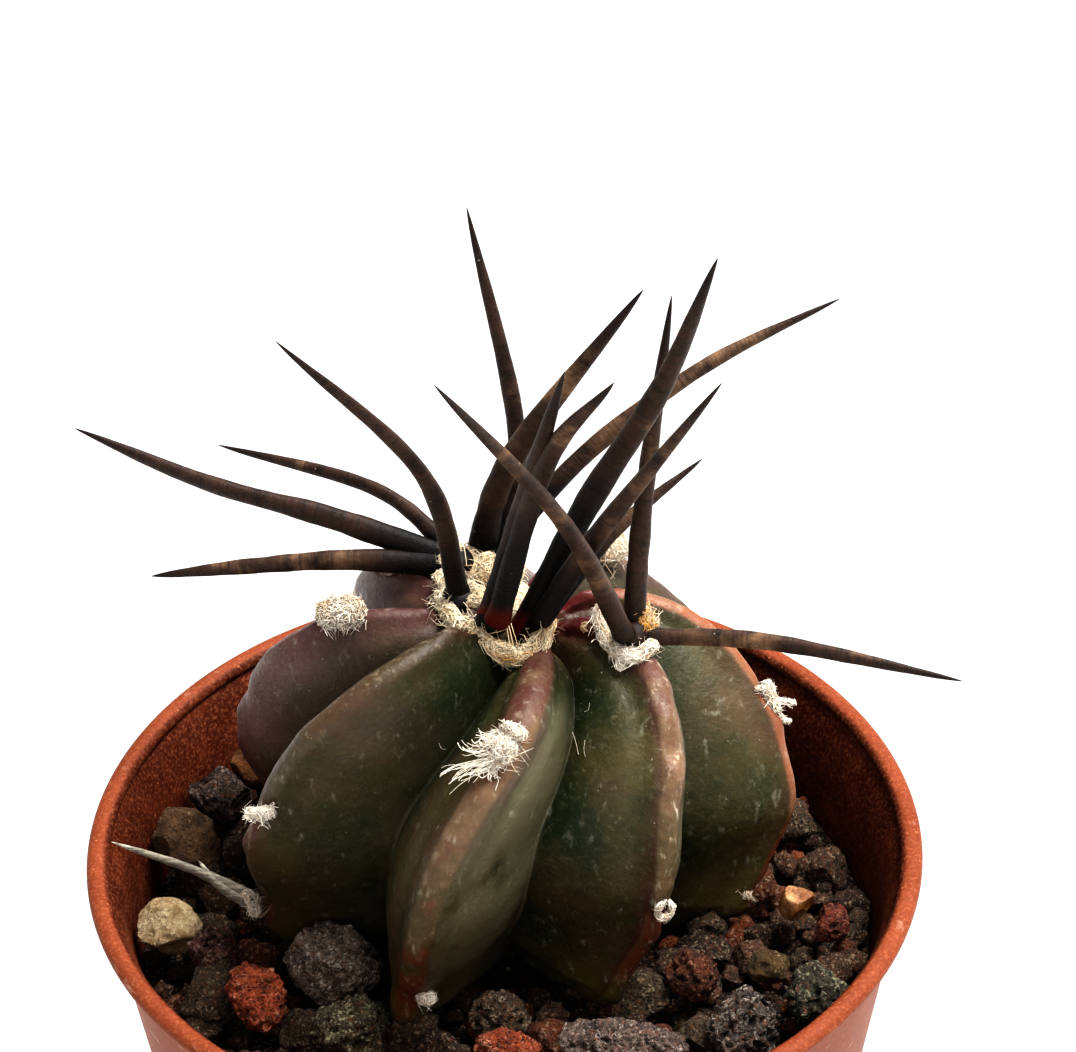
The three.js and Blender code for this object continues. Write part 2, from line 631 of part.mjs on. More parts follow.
// The bed's stones: first those whose places show, then the rest, spread evenly by
// picking each time the candidate furthest from the stones already laid.
function gravelStones() {
  const draw = random(GRAVEL_SEED);
  const laid = STONES.map(({ x, y, size }) => ({ x, y, reach: size[0] * STONE_REACH }));
  const stones = BED_STONES.map(([x, y, half], index) => bedStone(x, y, half, draw, index));
  laid.push(...BED_STONES.map(([x, y, half]) => ({ x, y, reach: half * STONE_REACH })));
  const field = wallRadius(SOIL_LEVEL) - WALL - GRAVEL_MARGIN;
  for (let k = 0; k < GRAVEL_STONES; k += 1) {
    const half = STONE_MIN + STONE_SPREAD * draw();
    let best = null;
    for (let c = 0; c < CANDIDATES; c += 1) {
      const radius = field * Math.sqrt(draw());
      const angle = 2 * Math.PI * draw();
      const [x, y] = [radius * Math.cos(angle), radius * Math.sin(angle)];
      const room = Math.min(...laid.map((s) => Math.hypot(s.x - x, s.y - y) - s.reach));
      const clear = Math.hypot(x - PLANT_X, y - PLANT_Y) > GRAVEL_CLEAR;
      if (clear && (!best || room > best.room)) best = { x, y, room };
    }
    laid.push({ x: best.x, y: best.y, reach: half * STONE_REACH });
    stones.push(bedStone(best.x, best.y, half, draw, stones.length));
  }
  return stones;
}

// The scene

const group = new THREE.Group();

function place(name, geometry, color, roughness = 0.9) {
  const material = new THREE.MeshStandardMaterial({ color, roughness, metalness: 0 });
  const mesh = new THREE.Mesh(geometry, material);
  mesh.name = name;
  group.add(mesh);
}

place('pot', potGeometry(), COLOURS.pot, 0.55);

const body = bodyGeometry();
const bodySolid = solid(body);
const bodyRoom = solid(grown(body, BODY_GAP));
place('cactus_body', body, COLOURS.body, 0.6);

// Potting mix, with a plain hole for the root.
place('potting_mix', geometryOf(fill(FLOOR + GAP, MIX_TOP).subtract(plantHole(BODY_GAP))), COLOURS.mix, 1);

// Spines
const roots = Object.entries(SPINES).map(([name, spines]) => {
  const cluster = largest(spineCluster(spines).subtract(bodyRoom));
  place(name, geometryOf(cluster), COLOURS.spine, 0.6);
  return spineCluster(spines, GAP, SPINE_ROOT);
});
const spineRoom = roots.reduce((sum, root) => sum.add(root));
const oldSpines = largest(spineCluster(OLD_SPINES).subtract(bodyRoom));
place('old_spines', geometryOf(oldSpines), COLOURS.oldSpine, 0.8);
const oldSpineRoom = spineCluster(OLD_SPINES, GAP);

// Wool
place(
  'crown_wool',
  geometryOf(largest(crownWool().subtract(spineRoom).subtract(bodyRoom))),
  COLOURS.crownWool,
  1,
);
TUFTS.forEach((tuft, index) => {
  const trimmed = tuftSolid(tuft, index)
    .subtract(bodyRoom)
    .subtract(spineRoom)
    .subtract(oldSpineRoom);
  place(tuft.name, geometryOf(largest(trimmed)), COLOURS.tuft, 1);
});

// Gravel: the bed of small stones, then the stones that stand out, each clear of the rest.
const gravelRoom = fill(GRAVEL_BASE, LIP_LEVEL);
let stoneRoom = bodyRoom.add(oldSpineRoom);
STONES.forEach((stone, index) => {
  const shape = { ...stone, seed: STONE_SEED + index };
  const cut = largest(solid(stoneLump(shape)).intersect(gravelRoom).subtract(stoneRoom));
  place(stone.name, geometryOf(cut), stone.color, 0.95);
  stoneRoom = stoneRoom.add(solid(stoneLump(shape, GAP)));
});
const slab = fill(GRAVEL_BASE, GRAVEL_FLAT).subtract(plantHole(2 * BODY_GAP));
const bed = gravelStones()
  .reduce((sum, stone) => sum.add(solid(stoneLump(stone))), slab)
  .intersect(gravelRoom)
  .subtract(stoneRoom);
place('gravel_bed', geometryOf(largest(bed)), COLOURS.gravel, 0.95);

export default group;
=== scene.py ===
"""Potted goats horn cactus: the finished surfaces of the plant, its wool, spines, gravel and pot."""

import logging
import math
from dataclasses import dataclass
from enum import Enum
from typing import Any, Callable, Iterable, Sequence

import bmesh
import bpy
import numpy as np
from mathutils import Matrix, Vector, noise


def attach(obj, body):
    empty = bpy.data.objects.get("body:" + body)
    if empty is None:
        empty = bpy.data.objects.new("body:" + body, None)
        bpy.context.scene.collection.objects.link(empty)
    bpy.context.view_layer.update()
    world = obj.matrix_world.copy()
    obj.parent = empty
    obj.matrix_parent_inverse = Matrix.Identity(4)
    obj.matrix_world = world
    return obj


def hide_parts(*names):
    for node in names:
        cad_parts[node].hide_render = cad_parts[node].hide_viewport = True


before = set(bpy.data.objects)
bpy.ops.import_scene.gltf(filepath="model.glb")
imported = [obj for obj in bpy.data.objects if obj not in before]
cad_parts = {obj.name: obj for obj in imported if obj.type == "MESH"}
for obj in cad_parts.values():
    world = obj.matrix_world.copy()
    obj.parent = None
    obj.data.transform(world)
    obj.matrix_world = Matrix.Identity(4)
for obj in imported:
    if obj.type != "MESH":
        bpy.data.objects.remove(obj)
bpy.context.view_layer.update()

Place = tuple[float, float, float]
Path = tuple[Place, ...]
Socket = bpy.types.NodeSocket
Solid = bpy.types.Object
Material = bpy.types.Material
Array = np.ndarray

LOG = logging.getLogger("cactus")
MM = 0.001
ROOT_BODY = "root"

# Levels and places that several pieces share, in millimetres, as in the frame.
LIP_LEVEL = 55.0
SOIL_LEVEL = 48.5
PLANT = (1.0, 5.0)
LIP = np.array((0.0, 0.0, LIP_LEVEL))

# The step between the noise of one spine and the next, and the first seeds of the wool.
SPINE_SHIFT = 40.0
CROWN_SEED = 500
TUFT_SEED = 600


def linear(code: str) -> tuple[float, float, float, float]:
    """Turns six hexadecimal digits into red, green and blue in linear light, with an alpha of one.

    Args:
        code: The digits.

    Returns:
        Red, green, blue and alpha.
    """
    values = [int(code[k:k + 2], 16) / 255 for k in (0, 2, 4)]
    light = [v / 12.92 if v <= 0.04045 else ((v + 0.055) / 1.055) ** 2.4 for v in values]
    return light[0], light[1], light[2], 1.0


def along(values: Any, t: Array) -> Array:
    """Reads a smooth curve through equally spaced values.

    Args:
        values: One value or one point for each station.
        t: Where to read it, from 0 to 1.

    Returns:
        The curve at each t.
    """
    v = np.asarray(values, float)
    t = np.clip(np.asarray(t, float), 0, 1)
    last = len(v) - 1
    s = t * last
    i = np.minimum(s.astype(int), last - 1)
    u = (s - i).reshape(s.shape + (1,) * (v.ndim - 1))
    ends = np.concatenate([[2 * v[0] - v[1]], v, [2 * v[-1] - v[-2]]])
    a, b, c, d = (ends[i + k] for k in range(4))
    return 0.5 * (2 * b + (c - a) * u + (2 * a - 5 * b + 4 * c - d) * u**2
                  + (3 * b - a - 3 * c + d) * u**3)


def unit(vectors: Array) -> Array:
    """Scales vectors to length one."""
    return vectors / np.maximum(np.linalg.norm(vectors, axis=-1, keepdims=True), 1e-12)


def smooth_step(low: float, high: float, value: Array) -> Array:
    """Rises smoothly from 0 at low to 1 at high."""
    t = np.clip((value - low) / (high - low), 0, 1)
    return t * t * (3 - 2 * t)


def drift(points: Array, size: float, seed: float = 0.0) -> Array:
    """Reads soft noise at points.

    Args:
        points: Places in millimetres, one per row.
        size: Width of one swell in millimetres.
        seed: Moves the pattern.

    Returns:
        A value from about -1 to 1 for each place.
    """
    scaled = np.asarray(points).reshape(-1, 3) / size + seed
    read = [noise.noise(p) for p in scaled.tolist()]
    return np.array(read).reshape(np.shape(points)[:-1])


class Graph:
    """A node tree with short calls that add nodes and join sockets."""

    def __init__(self, tree: bpy.types.NodeTree) -> None:
        """Keeps the tree that nodes are added to."""
        self.tree = tree

    def node(self, kind: str, inputs: dict[Any, Any] | None = None, **settings: Any) -> bpy.types.Node:
        """Adds a node.

        Args:
            kind: The node's type.
            inputs: A value or a socket for each input's name or index.
            **settings: The node's own options.

        Returns:
            The new node.
        """
        made = self.tree.nodes.new(kind)
        for name, value in settings.items():
            setattr(made, name, value)
        for key, value in (inputs or {}).items():
            if isinstance(value, bpy.types.NodeSocket):
                self.tree.links.new(value, made.inputs[key])
            else:
                made.inputs[key].default_value = value
        return made

    def math(self, operation: str, a: Any, b: Any = 0.0, c: Any = 0.0, clamp: bool = False) -> Socket:
        """Adds one step of arithmetic and returns its result."""
        made = self.node("ShaderNodeMath", {0: a, 1: b, 2: c}, operation=operation, use_clamp=clamp)
        return made.outputs[0]

    def times(self, first: Any, *others: Any) -> Socket:
        """Multiplies values and returns the product."""
        for other in others:
            first = self.math("MULTIPLY", first, other)
        return first

    def plus(self, a: Any, b: Any, clamp: bool = False) -> Socket:
        """Adds two values and returns the sum."""
        return self.math("ADD", a, b, clamp=clamp)

    def minus(self, a: Any, b: Any, clamp: bool = False) -> Socket:
        """Takes one value from another and returns the rest."""
        return self.math("SUBTRACT", a, b, clamp=clamp)

    def within(self, value: Any, low: Any, high: Any) -> Socket:
        """Returns a mask of where a value lies between two others."""
        return self.times(self.math("GREATER_THAN", value, low), self.math("LESS_THAN", value, high))

    def lifted(self, value: Any, factor: Any, base: Any) -> Socket:
        """Multiplies a value by a factor, adds a base and returns the result."""
        return self.math("MULTIPLY_ADD", value, factor, base)

    def vector(self, operation: str, a: Any, b: Any = (0, 0, 0), scale: Any = 1.0) -> Socket:
        """Adds one step of vector arithmetic and returns its result."""
        return self.node("ShaderNodeVectorMath", {0: a, 1: b, 3: scale}, operation=operation).outputs[0]

    def split(self, vector: Any) -> Any:
        """Returns the three parts of a vector."""
        return self.node("ShaderNodeSeparateXYZ", {0: vector}).outputs

    def combined(self, x: Any = 0.0, y: Any = 0.0, z: Any = 0.0) -> Socket:
        """Makes a vector of three parts."""
        return self.node("ShaderNodeCombineXYZ", {0: x, 1: y, 2: z}).outputs[0]

    def mix(self, share: Any, a: Any, b: Any) -> Socket:
        """Blends two colours by a share and returns the colour."""
        return self.node("ShaderNodeMix", {0: share, 6: a, 7: b}, data_type="RGBA").outputs[2]

    def ramp(self, value: Any, low: Any, high: Any, to: tuple[float, float] = (0.0, 1.0)) -> Socket:
        """Maps a value from low and high to the two ends of a range, smoothly and clamped."""
        return self.node(
            "ShaderNodeMapRange",
            {"Value": value, "From Min": low, "From Max": high, "To Min": to[0], "To Max": to[1]},
            interpolation_type="SMOOTHSTEP",
        ).outputs[0]

    def cloud(self, where: Any, scale: Any, detail: float = 3.0, rough: float = 0.55) -> Socket:
        """Adds noise and returns its value from 0 to 1."""
        return self.node(
            "ShaderNodeTexNoise", {"Vector": where, "Scale": scale, "Detail": detail, "Roughness": rough},
        ).outputs[0]

    def swirled(self, where: Any, scale: Any, detail: float, reach: Any) -> Socket:
        """Shifts a place by soft noise and returns it."""
        swirl = self.node("ShaderNodeTexNoise", {"Vector": where, "Scale": scale, "Detail": detail})
        return self.vector("ADD", where, self.vector("SCALE", swirl.outputs["Color"], scale=reach))

    def cells(self, where: Any, spacing: Any) -> tuple[Socket, Any]:
        """Adds cells and returns the distance to each one's middle and its three draws.

        Args:
            where: The place.
            spacing: The cells' spacing.

        Returns:
            The distance and the draws.
        """
        scale = self.math("DIVIDE", 1.0, spacing)
        made = self.node("ShaderNodeTexVoronoi", {"Vector": where, "Scale": scale})
        return made.outputs["Distance"], self.split(made.outputs["Color"])

    def bowl(self, distance: Socket, width: Socket) -> Socket:
        """Returns the depth of a round pit, 1 in its middle and 0 outside its width."""
        near = self.math("DIVIDE", distance, width)
        return self.minus(1.0, self.math("POWER", near, 2.0), clamp=True)


def add_inputs(tree: bpy.types.NodeTree, inputs: dict[str, Any]) -> dict[str, str]:
    """Gives a tree its named inputs.

    Args:
        tree: The tree.
        inputs: Each input's default, or the name of its socket's type where it has none.

    Returns:
        Each input's identifier.
    """
    kinds = {int: "NodeSocketInt", float: "NodeSocketFloat", tuple: "NodeSocketVector"}
    identifiers = {}
    for label, value in inputs.items():
        plain = isinstance(value, str)
        kind = value if plain else kinds[type(value)]
        made = tree.interface.new_socket(name=label, in_out="INPUT", socket_type=kind)
        if not plain:
            made.default_value = value
        identifiers[label] = made.identifier
    return identifiers


class Effects:
    """The surface effects that several materials share, each a node group made once."""

    def __init__(self) -> None:
        """Builds every group with its inputs and their defaults."""
        place = {"Place": "NodeSocketVector"}
        colours = {"First": "NodeSocketColor", "Second": "NodeSocketColor"}
        self.millimetres = self._made("place in millimetres", {}, self._millimetres)
        self.mottle = self._made(
            "mottle", place | {"Size": 5.0, "Balance": 0.5, "Contrast": 0.2} | colours, self._mottle)
        self.flecks = self._made(
            "flecks", place | {"Spacing": 1.0, "Radius": 0.12, "Share": 0.4}, self._flecks)
        self.pores = self._made("pores", place | {"Spacing": 0.6, "Width": 0.5}, self._pores)
        self.streaks = self._made(
            "streaks", place | {"Stretch": (1.0, 1.0, 1.0), "Low": 0.5, "High": 0.7}, self._streaks)
        self.grains = self._made("grains", place | {"Spacing": 0.3, "Low": 0.0, "High": 0.2}, self._grains)

    @staticmethod
    def _made(name: str, inputs: dict[str, Any],
              recipe: Callable[[Graph, Any], dict[str, Socket]]) -> bpy.types.NodeTree:
        """Makes a group.

        Args:
            name: The group's name.
            inputs: The default or the socket type of each input.
            recipe: Adds the group's nodes and returns the socket behind each output's name.

        Returns:
            The group's tree.
        """
        tree = bpy.data.node_groups.new(name, "ShaderNodeTree")
        add_inputs(tree, inputs)
        graph = Graph(tree)
        results = recipe(graph, graph.node("NodeGroupInput").outputs)
        kinds = {"RGBA": "NodeSocketColor", "VECTOR": "NodeSocketVector", "VALUE": "NodeSocketFloat"}
        for label, socket in results.items():
            tree.interface.new_socket(name=label, in_out="OUTPUT", socket_type=kinds[socket.type])
        graph.node("NodeGroupOutput", results)
        return tree

    @staticmethod
    def _millimetres(graph: Graph, given: Any) -> dict[str, Socket]:
        """Makes the place on the piece, in millimetres."""
        place = graph.node("ShaderNodeTexCoord").outputs["Object"]
        return {"Place": graph.vector("SCALE", place, scale=1 / MM)}

    @staticmethod
    def _mottle(graph: Graph, given: Any) -> dict[str, Socket]:
        """Makes two colours clouded into each other at a coarse and a fine scale.

        Args:
            graph: The group's graph.
            given: The group's inputs.

        Returns:
            The socket behind each output.
        """
        scale = graph.math("DIVIDE", 1.0, given["Size"])
        coarse = graph.cloud(given["Place"], scale, 2.0)
        fine = graph.cloud(given["Place"], graph.times(scale, 5.0), 5.0, 0.65)
        both = graph.lifted(graph.minus(fine, coarse), 0.35, coarse)
        low = graph.minus(given["Balance"], given["Contrast"])
        high = graph.plus(given["Balance"], given["Contrast"])
        return {"Color": graph.mix(graph.ramp(both, low, high), given["First"], given["Second"])}

    @staticmethod
    def _flecks(graph: Graph, given: Any) -> dict[str, Socket]:
        """Makes a mask of small specks, a share of the cells bearing one each.

        Args:
            graph: The group's graph.
            given: The group's inputs.

        Returns:
            The socket behind each output.
        """
        spacing = given["Spacing"]
        swirl = graph.times(graph.math("DIVIDE", 1.0, spacing), 3.0)
        place = graph.swirled(given["Place"], swirl, 1.0, graph.times(spacing, 0.16))
        distance, draw = graph.cells(place, spacing)
        dot = graph.math("LESS_THAN", graph.times(distance, spacing), graph.times(given["Radius"], draw[1]))
        return {"Mask": graph.times(dot, graph.math("LESS_THAN", draw[0], given["Share"]))}

    @staticmethod
    def _pores(graph: Graph, given: Any) -> dict[str, Socket]:
        """Makes the pits of a foamed stone: their depth and a mask of their floors.

        Args:
            graph: The group's graph.
            given: The group's inputs.

        Returns:
            The socket behind each output.
        """
        distance, draw = graph.cells(given["Place"], given["Spacing"])
        depth = graph.bowl(distance, graph.math("MAXIMUM", graph.times(given["Width"], draw[0]), 0.001))
        return {"Depth": depth, "Mask": graph.ramp(depth, 0.25, 0.8)}

    @staticmethod
    def _grains(graph: Graph, given: Any) -> dict[str, Socket]:
        """Makes a mask of packed grains: the ones whose draw lies in a band."""
        _, draw = graph.cells(given["Place"], given["Spacing"])
        return {"Mask": graph.within(draw[1], given["Low"], given["High"])}

    @staticmethod
    def _streaks(graph: Graph, given: Any) -> dict[str, Socket]:
        """Makes a mask of broken streaks: noise drawn out by a stretch of the place."""
        place = graph.vector("MULTIPLY", given["Place"], given["Stretch"])
        return {"Mask": graph.ramp(graph.cloud(place, 1.0, 4.0, 0.6), given["Low"], given["High"])}


class Paint:
    """A material being mixed: its graph, its place in millimetres and its shader."""

    def __init__(self, name: str, effects: Effects) -> None:
        """Makes an empty material with a Principled BSDF.

        Args:
            name: The material's name.
            effects: The shared effects.
        """
        self.material = bpy.data.materials.new(name)
        self.material.use_nodes = True
        self.effects = effects
        self.graph = Graph(self.material.node_tree)
        self.shader = self.material.node_tree.nodes["Principled BSDF"]
        self.place = self.effect(effects.millimetres, {})["Place"]

    def effect(self, group: bpy.types.NodeTree, values: dict[str, Any]) -> Any:
        """Places a shared effect with its own values and returns its outputs."""
        return self.graph.node("ShaderNodeGroup", values, node_tree=group).outputs

    def attribute(self, name: str, output: str = "Fac") -> Socket:
        """Reads an attribute of the piece."""
        return self.graph.node("ShaderNodeAttribute", attribute_name=name).outputs[output]

    def four(self, name: str) -> tuple[Socket, Socket, Socket, Socket]:
        """Reads the four parts of a colour attribute.

        Args:
            name: The attribute's name.

        Returns:
            Its red, green, blue and alpha.
        """
        read = self.graph.node("ShaderNodeAttribute", attribute_name=name).outputs
        part = self.graph.node("ShaderNodeSeparateColor", {0: read["Color"]}).outputs
        return part[0], part[1], part[2], read["Alpha"]

    def over(self, colour: Socket, code: str, share: Socket) -> Socket:
        """Lays a plain colour over another by a share."""
        return self.graph.mix(share, colour, linear(code))

    def mottle(self, size: float, first: str, second: str, balance: float = 0.5,
               contrast: float = 0.2) -> Socket:
        """Clouds two colours into each other and returns the colour."""
        return self.effect(self.effects.mottle, {
            "Place": self.place, "Size": size, "Balance": balance, "Contrast": contrast,
            "First": linear(first), "Second": linear(second),
        })["Color"]

    def flecks(self, spacing: float, radius: float, share: float) -> Socket:
        """Returns a mask of small specks."""
        return self.effect(self.effects.flecks, {
            "Place": self.place, "Spacing": spacing, "Radius": radius, "Share": share})["Mask"]

    def streaks(self, stretch: Place, low: float, high: float) -> Socket:
        """Returns a mask of streaks, drawn out where the stretch is small."""
        return self.effect(self.effects.streaks, {
            "Place": self.place, "Stretch": stretch, "Low": low, "High": high})["Mask"]

    def finish(self, colour: Socket, roughness: Socket | float, height: Socket | None = None,
               depth: float = 0.1, **constants: float) -> Material:
        """Joins the shader.

        Args:
            colour: The base colour.
            roughness: A socket or a plain value.
            height: The relief for the bump, or nothing.
            depth: What a height of one stands for, in millimetres.
            **constants: The shader's other inputs, by name with _ for a space.

        Returns:
            The finished material.
        """
        links = self.graph.tree.links
        links.new(colour, self.shader.inputs["Base Color"])
        if isinstance(roughness, bpy.types.NodeSocket):
            links.new(roughness, self.shader.inputs["Roughness"])
        else:
            self.shader.inputs["Roughness"].default_value = roughness
        if height is not None:
            bump = self.graph.node("ShaderNodeBump", {"Height": height, "Distance": depth * MM})
            links.new(bump.outputs[0], self.shader.inputs["Normal"])
        for name, value in constants.items():
            self.shader.inputs[name.replace("_", " ")].default_value = value
        return self.material


@dataclass(frozen=True)
class PotPlastic:
    """Terracotta-coloured moulded plastic with pale flecks and light scuffs."""

    warm: str = "763c24"
    deep: str = "602c16"
    fleck: str = "b06e4c"
    scuff: str = "bb9a86"
    # inner: painted shade, the dark colour laid over the inside of the wall.
    inner: str = "340e03"

    def material(self, effects: Effects) -> Material:
        """Mixes the plastic. The piece's facing attribute tells the outside of the wall from the
        inside, which is painted darker as shade.

        Args:
            effects: The shared effects.

        Returns:
            The finished material.
        """
        paint = Paint("pot plastic", effects)
        graph = paint.graph
        facing = paint.attribute("facing")
        # Painted shade: the wall is darkened where it faces inward.
        inside = graph.ramp(facing, -0.75, -0.3, (0.9, 0.0))
        colour = graph.mix(inside, paint.mottle(7.0, self.deep, self.warm, 0.45, 0.3),
                           paint.mottle(3.0, self.inner, self.deep, 0.64))
        grain = graph.cloud(paint.place, 3.5, 4.0, 0.7)
        colour = paint.over(colour, self.fleck, graph.ramp(grain, 0.45, 0.7, (0.0, 0.3)))
        colour = paint.over(colour, self.fleck, graph.times(paint.flecks(0.8, 0.12, 0.4), 0.5))
        outside = graph.ramp(facing, -0.4, 0.2, (0.05, 0.4))
        worn = graph.times(paint.streaks((0.4, 0.4, 1.8), 0.58, 0.76), outside)
        rough = graph.ramp(grain, 0.3, 0.7, (0.55, 0.7))
        return paint.finish(paint.over(colour, self.scuff, worn), rough, grain, 0.05, Specular_IOR_Level=0.15)


@dataclass(frozen=True)
class CactusSkin:
    """Satin dark olive skin that turns purple-brown, with corky rib crests, scratches and flecks."""

    dark_green: str = "14220d"
    olive: str = "423a1c"
    grey_green: str = "5e5a44"
    purple: str = "5c3e36"
    plum: str = "402427"
    crest_brown: str = "523028"
    crest_tan: str = "6c5740"
    crest_olive: str = "4a3e24"
    crest_warm: str = "7a4a30"
    edge: str = "401815"
    # The crown's own dark red, made darker still as painted shade between the spine bases.
    crown_red_and_shade: str = "4c0c14"
    rust: str = "64301c"
    foot: str = "5a5228"
    cork: str = "bdae97"
    fleck: str = "b4b0a0"

    def material(self, effects: Effects) -> Material:
        """Mixes the skin.

        The growth attribute holds how far a place is from the crest (half at the shoulder, 1 in the
        furrow), its level, its purple and the nearness of an areole. The habit attribute holds the
        crest's paleness and knobs, the side of the rib and the red of its crown.

        Args:
            effects: The shared effects.

        Returns:
            The finished material.
        """
        paint = Paint("cactus skin", effects)
        graph = paint.graph
        measured, level, purple, areole = paint.four("growth")
        pale, knobs, side, red = paint.four("habit")
        wobble = graph.minus(graph.cloud(paint.place, 0.8, 4.0), 0.5)
        broad = graph.cloud(paint.place, 0.13, 3.0)
        reach = graph.lifted(wobble, 0.16, measured)
        bold = graph.ramp(knobs, 0.3, 0.8, (0.2, 0.8))

        face = self._face(paint, broad, side, level, reach, pale)
        blush = graph.plus(purple, graph.ramp(broad, 0.4, 0.65, (-0.18, 0.22)), clamp=True)
        blush = graph.times(blush, graph.ramp(reach, 0.45, 0.95, (1.0, 0.45)))
        face = graph.mix(blush, face, paint.mottle(4.0, self.purple, self.plum))
        halo = graph.times(graph.ramp(reach, 0.46, 0.56, (0.35, 0.0)),
                           graph.ramp(level, 0.45, 0.8, (1.0, 0.25)), bold)
        face = graph.mix(halo, face, paint.mottle(3.0, self.plum, self.crest_brown))
        foot = graph.times(graph.ramp(level, 0.88, 1.0), graph.ramp(reach, 0.35, 0.75, (0.8, 0.2)))
        face = graph.mix(foot, face, paint.mottle(2.0, self.foot, self.olive, 0.6))

        shown = graph.times(graph.ramp(reach, 0.3, 0.48, (1.0, 0.0)), graph.ramp(pale, 0.15, 0.7, (0.2, 1.0)))
        colour = graph.mix(shown, face, self._crest(paint, pale, knobs, red, level))
        line = graph.times(graph.ramp(reach, 0.38, 0.45), graph.ramp(reach, 0.47, 0.56, (1.0, 0.0)),
                           bold, graph.ramp(broad, 0.35, 0.6, (0.2, 0.75)))
        colour = paint.over(colour, self.edge, line)
        # The red of the rib tops near the crown, partly their own colour and partly painted shade.
        crown = graph.times(graph.ramp(level, 0.1, 0.26, (1.0, 0.0)),
                            graph.ramp(reach, 0.3, 0.75, (0.95, 0.3)), red)
        colour = paint.over(colour, self.crown_red_and_shade, crown)
        rust = graph.times(areole, graph.ramp(reach, 0.1, 0.6, (0.6, 0.0)),
                           graph.ramp(level, 0.5, 0.62, (0.35, 1.0)))
        colour = graph.mix(rust, colour, paint.mottle(1.5, self.edge, self.rust))
        corky = graph.times(knobs, graph.ramp(crown, 0.0, 0.4, (1.0, 0.0)))
        colour, cork = self._worn(paint, colour, reach, corky)

        grain = graph.cloud(paint.place, 2.4, 5.0, 0.65)
        height = graph.lifted(cork, 0.6, grain)
        rough = graph.plus(graph.ramp(grain, 0.3, 0.7, (0.42, 0.58)), graph.times(cork, 0.2))
        rough = graph.minus(rough, graph.times(crown, 0.2))
        return paint.finish(colour, rough, height, 0.08, Specular_IOR_Level=0.35)

    def _face(self, paint: Paint, broad: Socket, side: Socket, level: Socket, reach: Socket,
              pale: Socket) -> Socket:
        """Mixes the green of the faces: darker towards the furrows as painted shade, darker near the crown,
        and greyer on the anticlockwise side of a pale-crested rib as painted light.

        Args:
            paint: The material being mixed.
            broad: Broad noise.
            side: The side of the rib.
            level: The level, 0 at the crown.
            reach: How far from the crest.
            pale: The crest's paleness.

        Returns:
            The colour.
        """
        graph = paint.graph
        # Painted shade: the faces turn darker green towards the furrows.
        face = graph.mix(graph.ramp(reach, 0.55, 0.9), paint.mottle(6.0, self.dark_green, self.olive, 0.42),
                         paint.mottle(6.0, self.dark_green, self.olive, 0.58))
        # Painted light: the anticlockwise flank of a pale-crested rib is painted a lighter grey-green, as if
        # lit.
        painted_light_grey = graph.times(graph.ramp(side, 0.58, 0.75), graph.ramp(broad, 0.3, 0.5),
                           graph.ramp(level, 0.1, 0.4), graph.ramp(pale, 0.3, 0.8, (0.12, 0.9)))
        face = paint.over(face, self.grey_green, painted_light_grey)
        face = paint.over(face, self.dark_green, graph.ramp(level, 0.2, 0.5, (0.6, 0.0)))
        soft = graph.cloud(paint.place, 1.6, 5.0, 0.7)
        return paint.over(face, self.grey_green, graph.ramp(soft, 0.48, 0.8, (0.0, 0.5)))

    def _crest(self, paint: Paint, pale: Socket, knobs: Socket, red: Socket, level: Socket) -> Socket:
        """Mixes the crests: brown above, then tan, then olive, then rust at the foot, and orange-brown
        all the way on a smooth rib with a red crown.

        Args:
            paint: The material being mixed.
            pale: The crest's paleness.
            knobs: The crest's knobs.
            red: The red of the crown.
            level: The level, 0 at the crown.

        Returns:
            The colour.
        """
        graph = paint.graph
        shift = graph.minus(graph.cloud(paint.place, 0.35, 3.0), 0.5)
        run = graph.lifted(shift, 0.5, level)
        warm = graph.ramp(graph.times(red, graph.ramp(knobs, 0.0, 1.0, (1.0, 0.0))), 0.4, 0.7)
        tan, olive = graph.ramp(run, 0.3, 0.5), graph.ramp(run, 0.55, 0.7)
        band = paint.mottle(2.0, self.crest_brown, self.crest_tan, 0.6)
        band = graph.mix(tan, band, paint.mottle(1.8, self.crest_tan, self.crest_brown, 0.6))
        band = graph.mix(olive, band, paint.mottle(1.8, self.crest_olive, self.crest_tan, 0.62, 0.15))
        band = graph.mix(warm, band, paint.mottle(2.2, self.crest_warm, self.crest_tan, 0.6))
        rust = graph.times(graph.ramp(run, 0.74, 0.84), graph.ramp(level, 0.93, 1.0, (0.75, 0.0)))
        band = paint.over(paint.over(band, self.rust, rust), self.foot, graph.ramp(level, 0.93, 0.99))
        dull = graph.ramp(pale, 0.1, 0.6, (0.8, 0.0))
        return graph.mix(dull, band, paint.mottle(2.5, self.plum, self.crest_brown))

    def _worn(self, paint: Paint, colour: Socket, reach: Socket, knobs: Socket) -> tuple[Socket, Socket]:
        """Adds what has worn the skin: cork on the crests, scuffs, scratches and flecks.

        Args:
            paint: The material being mixed.
            colour: The skin so far.
            reach: How far from the crest.
            knobs: How corky the crest is.

        Returns:
            The colour and the mask of the cork.
        """
        graph = paint.graph
        cork = graph.times(paint.streaks((1.5, 1.5, 0.45), 0.54, 0.72),
                           graph.ramp(reach, 0.2, 0.42, (0.6, 0.0)), knobs)
        colour = paint.over(colour, self.cork, cork)
        for stretch, low, high in (((1.1, 1.1, 0.55), 0.58, 0.82), ((3.0, 5.2, 1.8), 0.67, 0.76)):
            colour = paint.over(colour, self.fleck, graph.times(paint.streaks(stretch, low, high), 0.35))
        specks = graph.math("MAXIMUM", paint.flecks(0.6, 0.05, 0.3), paint.flecks(1.9, 0.09, 0.2))
        return paint.over(colour, self.fleck, graph.times(specks, 0.5)), cork


